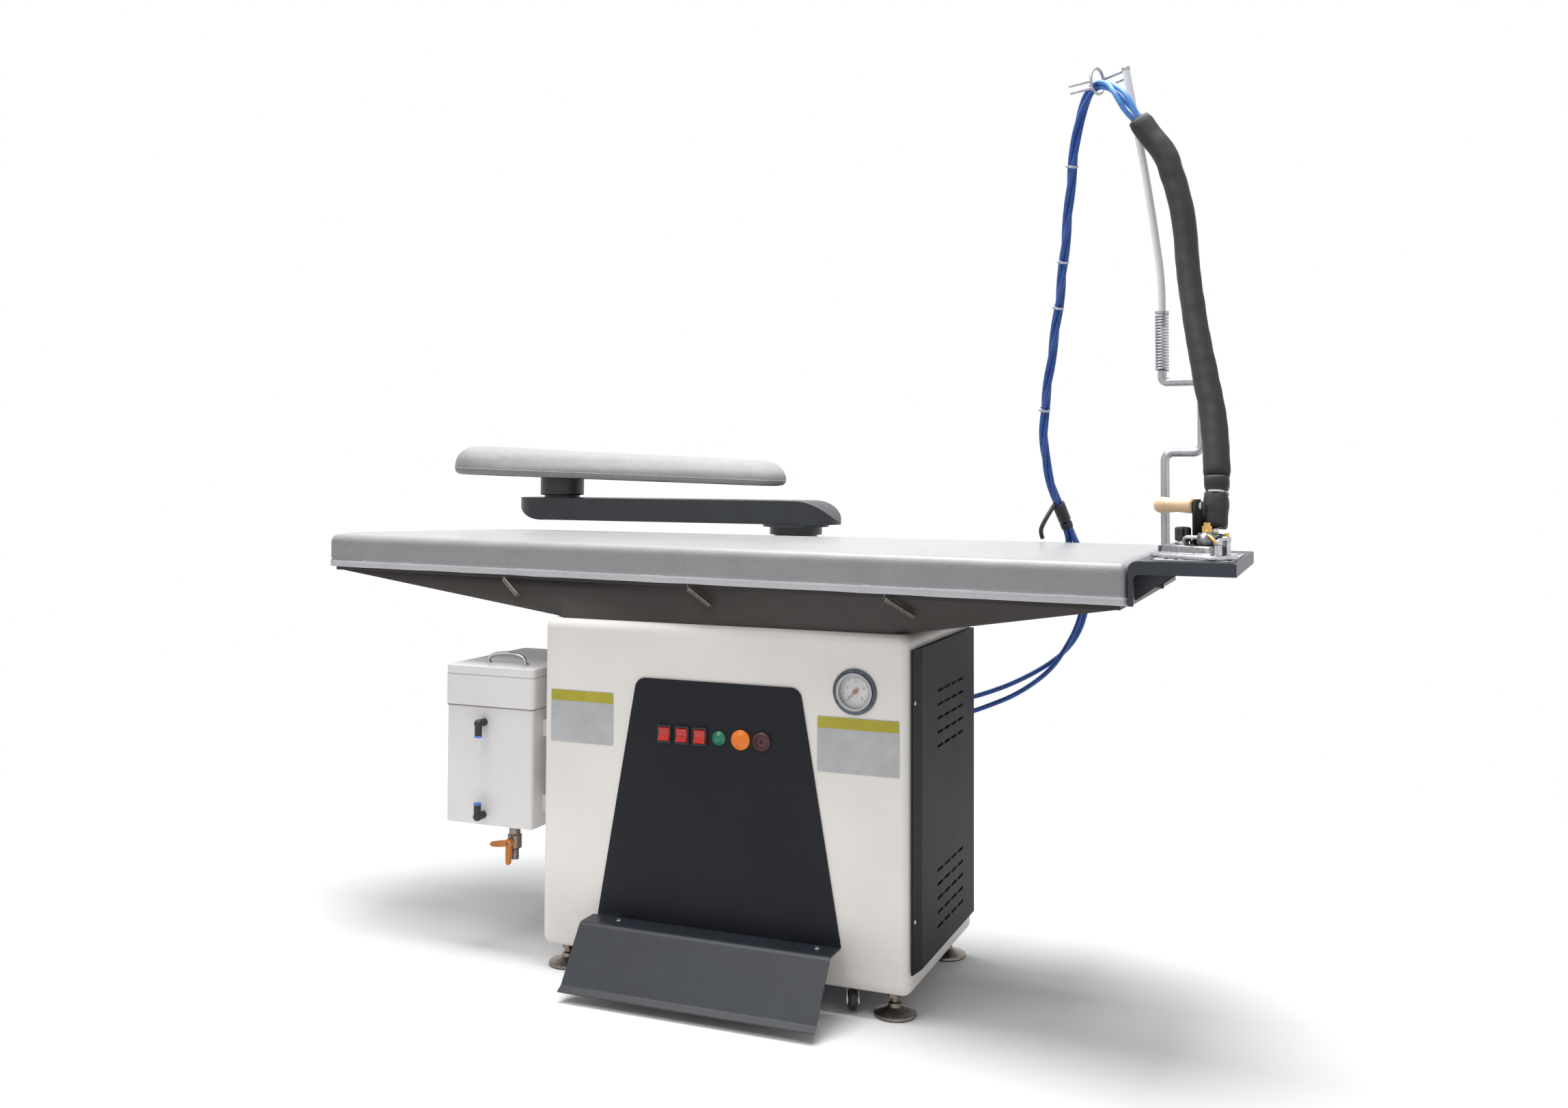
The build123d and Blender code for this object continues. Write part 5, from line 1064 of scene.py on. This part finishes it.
def soleRing(inset, z, count=40):
    # pointed sole with bowed sides and a rounded heel
    half, middle = (iron["nose"] - iron["heel"]) / 2, (iron["nose"] + iron["heel"]) / 2
    right = []
    for k in range(count + 1):
        t = 1 - (1 - k / count) ** 1.6
        width = (iron["half"] - inset) * math.sqrt(1 - t ** 1.7)
        if t < iron["heelRun"]:
            width *= 0.62 + 0.38 * math.sqrt(1 - (1 - t / iron["heelRun"]) ** 2)
        x = half * (2 * t - 1)
        right.append((middle + x * (1 - inset * (1.0 if x < 0 else 1.5) / half), width))
    return [ironLocal(x, -w, z) for x, w in right] + [ironLocal(x, w, z) for x, w in right[::-1][1:]]


def roundedBlock(name, low, high, bevel, material):
    # block in the iron's frame with every edge rounded
    low, high = Vector(low), Vector(high)
    form = bmesh.new()
    bmesh.ops.create_cube(form, size=1.0)
    for v in form.verts:
        v.co = ((low + high) / 2 + v.co * (high - low)) * mm
    bmesh.ops.bevel(form, geom=form.edges[:] + form.verts[:], offset=bevel * mm, segments=3, affect="EDGES")
    form.transform(ironPlace)
    mesh = bpy.data.meshes.new(name)
    form.to_mesh(mesh)
    form.free()
    mesh.materials.append(material)
    mesh.polygons.foreach_set("use_smooth", [True] * len(mesh.polygons))
    return pointOutwards(placed(name, mesh))


def ironCluster():
    # sole, valve block, grip bracket, knob boss, pipes and hexagon nuts
    sole = skinned("ironSole", [soleRing(*level) for level in iron["sole"]], [chrome, castAluminium])
    slotWhere(sole, lambda c: c.z > ironLocal(0, 0, iron["castFrom"]).z)
    parts = [sole, roundedBlock("valveBlock", (-40, -12, 22), (-16, 20, 44), 3.0, castAluminium),
             roundedBlock("gripBracket", (-14, -11, 22), (-2, 11, 99), 4.0, blackPowder),
             turnedPiece("knobBoss", [(0, 20), (10, 20), (10, 28), (8, 31), (0, 31)], ironAt(iron["knob"], 0, 0),
                         [chrome])]
    for points, radius, metal in iron["pipes"]:
        parts.append(tubeMesh("pipe", routeLine(points, ironLocal), radius, [metal], 14))
    for x, y, z, r, high, metal in iron["nuts"]:
        profile = [(r * 0.9, 0), (r, 0.8), (r, high - 0.8), (r * 0.9, high)]
        parts.append(turnedPiece("nut", profile, ironAt(x, y, z), [metal], 6, False))
    return joined("ironForm", parts)


def woodenGrip():
    # turned beech grip with the bolt that holds it
    place = ironAt(iron["gripStart"], 0, iron["gripHeight"]) @ Matrix.Rotation(math.radians(90), 4, "Y")
    profile = [(0, 0), (9.5, 0), (11.8, 1.2), (13.0, 5), (12.8, 12), (11.9, 22), (11.4, 32), (12.2, 43), (13.6, 54),
               (14.0, 61), (13.0, 67), (10.4, 71.5), (6.0, 74.2), (0, 75)]
    bolt = [(0, -13.4), (5.5, -13.4), (6.5, -12.6), (6.5, -12.1), (4.6, -12.1), (4.6, 0.5), (0, 0.5)]
    return joined("ironGrip", [turnedPiece("woodenGrip", profile, place, [beech], 40),
                               turnedPiece("gripBolt", bolt, place, [zincSteel], 24)])


def flutedKnob():
    # moulded knob with eight finger flutes and a domed top
    place = ironAt(iron["knob"], 0, iron["knobLow"])
    rings = []
    for radius, z, deep in ((10.0, 0, 0.2), (13.0, 0.8, 0.9), (13.6, 2.5, 2.6), (13.6, 20, 2.6), (12.4, 22.6, 1.9),
                            (9.6, 23.8, 0.5), (4.8, 24.2, 0)):
        ring = []
        for a in around(64):
            r = radius - deep * (0.5 + 0.5 * math.cos(8 * a))
            ring.append(place @ (Vector((r * math.cos(a), r * math.sin(a), z)) * mm))
        rings.append(ring)
    stem = turnedPiece("knobStem", [(0, -8), (3.8, -8), (3.8, 5), (0, 5)], place, [zincSteel], 20)
    return joined("steamKnob", [skinned("knobCap", rings, [blackPlastic]), stem])


print("iron")
ironForm = ironCluster()
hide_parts("iron_body")
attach(ironForm, "iron")
handle = woodenGrip()
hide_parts("iron_handle")
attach(handle, "iron")
knob = flutedKnob()
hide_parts("iron_knob")
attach(knob, "iron_knob")


# Iron rest: one bent sheet with turned-down rims, gussets and the mast's socket

rest = {"x0": 788.3, "x1": 960.0, "y0": -95.0, "y1": 300.0, "plateBack": 528.0, "top": 853.0, "low": 778.0,
        "sheet": 3.0, "rim": 22.0, "bend": 15.0, "gussets": (-35.0, 240.0), "reach": 96.0,
        "mast": (813.0, 200.0), "socket": 13.0, "bore": 8.3}


def restParts():
    r = rest
    x0, x1, y0, y1, top, low, t, bend = (r[k] for k in ("x0", "x1", "y0", "y1", "top", "low", "sheet", "bend"))
    rimLow = top - r["rim"]
    outer = [(x0, low)] + arc(x0 + bend, top - bend, bend, 180, 90) + arc(x1 - 3, top - 3, 3, 90, 0) + [(x1, rimLow)]
    inner = [(x1 - t, rimLow), (x1 - t, top - t)] + arc(x0 + bend, top - bend, bend - t - 1, 90, 180)
    inner.append((x0 + t + 1, low))
    flange = outer + [(x0 + 24, rimLow)] + arc(x0 + 17, rimLow - 8, 8, 90, 180)[1:] + [(x0 + 9, low)]
    endPlate = [(x0, low), (x0 + t + 1, low), (x0 + t + 1, top - 4), (x0, top - 4)]
    web = [(x0 + t, top - 4), (x0 + r["reach"], top - 4), (x0 + 6, low + 6), (x0 + t, low + 6)]
    sheets = [("restSheet", outer + inner, y0 + 0.2, y1 - 0.2)]
    sheets += [("restFlange", flange, y, y + t) for y in (y0, y1 - t)]
    sheets += [("restEndPlate", endPlate, y1 - t, r["plateBack"])]
    sheets += [("restGusset", web, y, y + t) for y in r["gussets"]]
    socket = bandRound("restSocket", spot(*r["mast"], rimLow + 17), upright, r["bore"], r["socket"], 34,
                       restPowder, 36)
    return [alongY(*sheet, [restPowder]) for sheet in sheets] + [socket]


print("iron rest")
restForm = joined("ironRest", restParts())
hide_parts("iron_rest")
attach(restForm, "machine")


# Springs that hold the cover's hem

springs = {"starts": (-511.0, -61.0, 353.0), "top": 769.0, "run": 46.0, "drop": 31.0, "coil": 4.6, "wire": 0.9,
           "turns": 24, "perTurn": 12, "hemTop": 777.0}


def frontEdge(x, inset):
    # the table's slanting front edge
    return 100.0 - 0.11 * (x + 1012.0) + inset


def coverSpring(x):
    # from the hem down to the hood's sloping side, with a hook at each end
    start = Vector((x, frontEdge(x, 1.5), springs["top"]))
    rim = frontEdge(x + springs["run"], 14.0)
    end = Vector((x + springs["run"], rim + 32.0 / 70.0 * (14.0 - rim) - 8.0, springs["top"] - springs["drop"]))
    way = (end - start).normalized()
    side = way.orthogonal().normalized()
    up = way.cross(side)
    steps, radius = springs["turns"] * springs["perTurn"], springs["coil"]
    coil = [start + (end - start) * (k / steps) + offset(side, up, radius, 2 * math.pi * k / springs["perTurn"])
            for k in range(steps + 1)]
    hookTop = [start + side * radius, start - way * 3, (x, start.y, springs["hemTop"])]
    hookLow = [end + side * radius, end + way * 3, end + Vector((2, 9, -2))]
    return [tubeMesh("coil", spots(points), springs["wire"], [darkNickel], 6) for points in (coil, hookTop, hookLow)]


print("cover springs")
hemSprings = joined("hemSprings", [part for x in springs["starts"] for part in coverSpring(x)])
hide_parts("cover_springs")
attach(hemSprings, "machine")


# Studio and camera

studio = {"floor": 5.0, "key": 52, "fill": 3, "top": 215, "soft": 0.3}


def stage():
    # pale floor that fades out, and a surround that the camera and reflections see white
    floorMaterial, tree = newMaterial("studioFloor")
    coords = addNode(tree, "ShaderNodeTexCoord", out="Object")
    away = addNode(tree, "ShaderNodeVectorMath", {0: coords}, "Value", operation="LENGTH")
    fade = addNode(tree, "ShaderNodeMapRange", {"Value": away, "From Min": 0.9, "From Max": 2.6})
    diffuse = addNode(tree, "ShaderNodeBsdfDiffuse", {"Color": (1.0, 1.0, 1.0, 1)})
    clear = addNode(tree, "ShaderNodeBsdfTransparent")
    mixed = addNode(tree, "ShaderNodeMixShader", {0: fade, 1: diffuse, 2: clear})
    addNode(tree, "ShaderNodeOutputMaterial", {"Surface": mixed})
    side = studio["floor"]
    floor = meshObject("studioFloor", [(-side, -side, 0), (side, -side, 0), (side, side, 0), (-side, side, 0)],
                       [(0, 1, 2, 3)], [floorMaterial], False)

    world = bpy.data.worlds.new("studio")
    bpy.context.scene.world = world
    world.use_nodes = True
    tree = world.node_tree
    tree.nodes.clear()
    rays = addNode(tree, "ShaderNodeLightPath").node.outputs
    seen = mathOf(tree, "MAXIMUM", rays["Is Camera Ray"], rays["Is Glossy Ray"])
    seen = mathOf(tree, "MAXIMUM", seen, rays["Is Transmission Ray"])
    white = addNode(tree, "ShaderNodeBackground", {"Color": (1, 1, 1, 1), "Strength": 1.0})
    soft = addNode(tree, "ShaderNodeBackground", {"Color": (0.97, 0.98, 1, 1), "Strength": studio["soft"]})
    both = addNode(tree, "ShaderNodeMixShader", {0: seen, 1: soft, 2: white})
    addNode(tree, "ShaderNodeOutputWorld", {"Surface": both})


def softbox(name, place, aim, size, power):
    lamp = bpy.data.lights.new(name, "AREA")
    lamp.shape = "RECTANGLE"
    lamp.size, lamp.size_y = size
    lamp.energy = power
    way = Vector(aim) - Vector(place)
    placed(name, lamp).matrix_world = Matrix.Translation(place) @ way.to_track_quat("-Z", "Y").to_matrix().to_4x4()


def camera():
    # the photograph's own view: lens, shift, place and angles
    lens = {"focal": 2098.85, "width": 2296.0, "height": 1623.0, "centre": (1122.28, 603.76), "sensor": 36.0,
            "place": (1150.6, -2521.2, 1005.1), "yaw": 22.61, "pitch": 2.21, "roll": -0.26}
    data = bpy.data.cameras.new("photoCamera")
    data.sensor_width = lens["sensor"]
    data.lens = lens["sensor"] * lens["focal"] / lens["width"]
    data.shift_x = (lens["width"] / 2 - lens["centre"][0]) / lens["width"]
    data.shift_y = (lens["centre"][1] - lens["height"] / 2) / lens["width"]
    data.clip_start, data.clip_end = 0.05, 50.0
    yaw, pitch, roll = (math.radians(lens[k]) for k in ("yaw", "pitch", "roll"))
    ahead = Vector((-math.sin(yaw) * math.cos(pitch), math.cos(yaw) * math.cos(pitch), math.sin(pitch)))
    right = Vector((math.cos(yaw), math.sin(yaw), 0))
    down = ahead.cross(right)
    acrossAxis = right * math.cos(roll) + down * math.sin(roll)
    downAxis = -right * math.sin(roll) + down * math.cos(roll)
    turn = Matrix((acrossAxis, -downAxis, -ahead)).transposed().to_4x4()
    obj = placed("photoCamera", data)
    obj.matrix_world = Matrix.Translation(spot(*lens["place"])) @ turn
    bpy.context.scene.camera = obj


print("studio and camera")
stage()
softbox("keySoftbox", (-0.8, -2.4, 4.2), (0, -0.2, 0.6), (2.6, 1.6), studio["key"])
softbox("fillSoftbox", (3.6, -1.2, 1.8), (0.2, 0, 0.8), (1.6, 2.2), studio["fill"])
softbox("topSoftbox", (0, 0.2, 3.8), (0, 0, 0.8), (3.0, 2.2), studio["top"])
camera()
bpy.context.scene.view_settings.view_transform = "Standard"
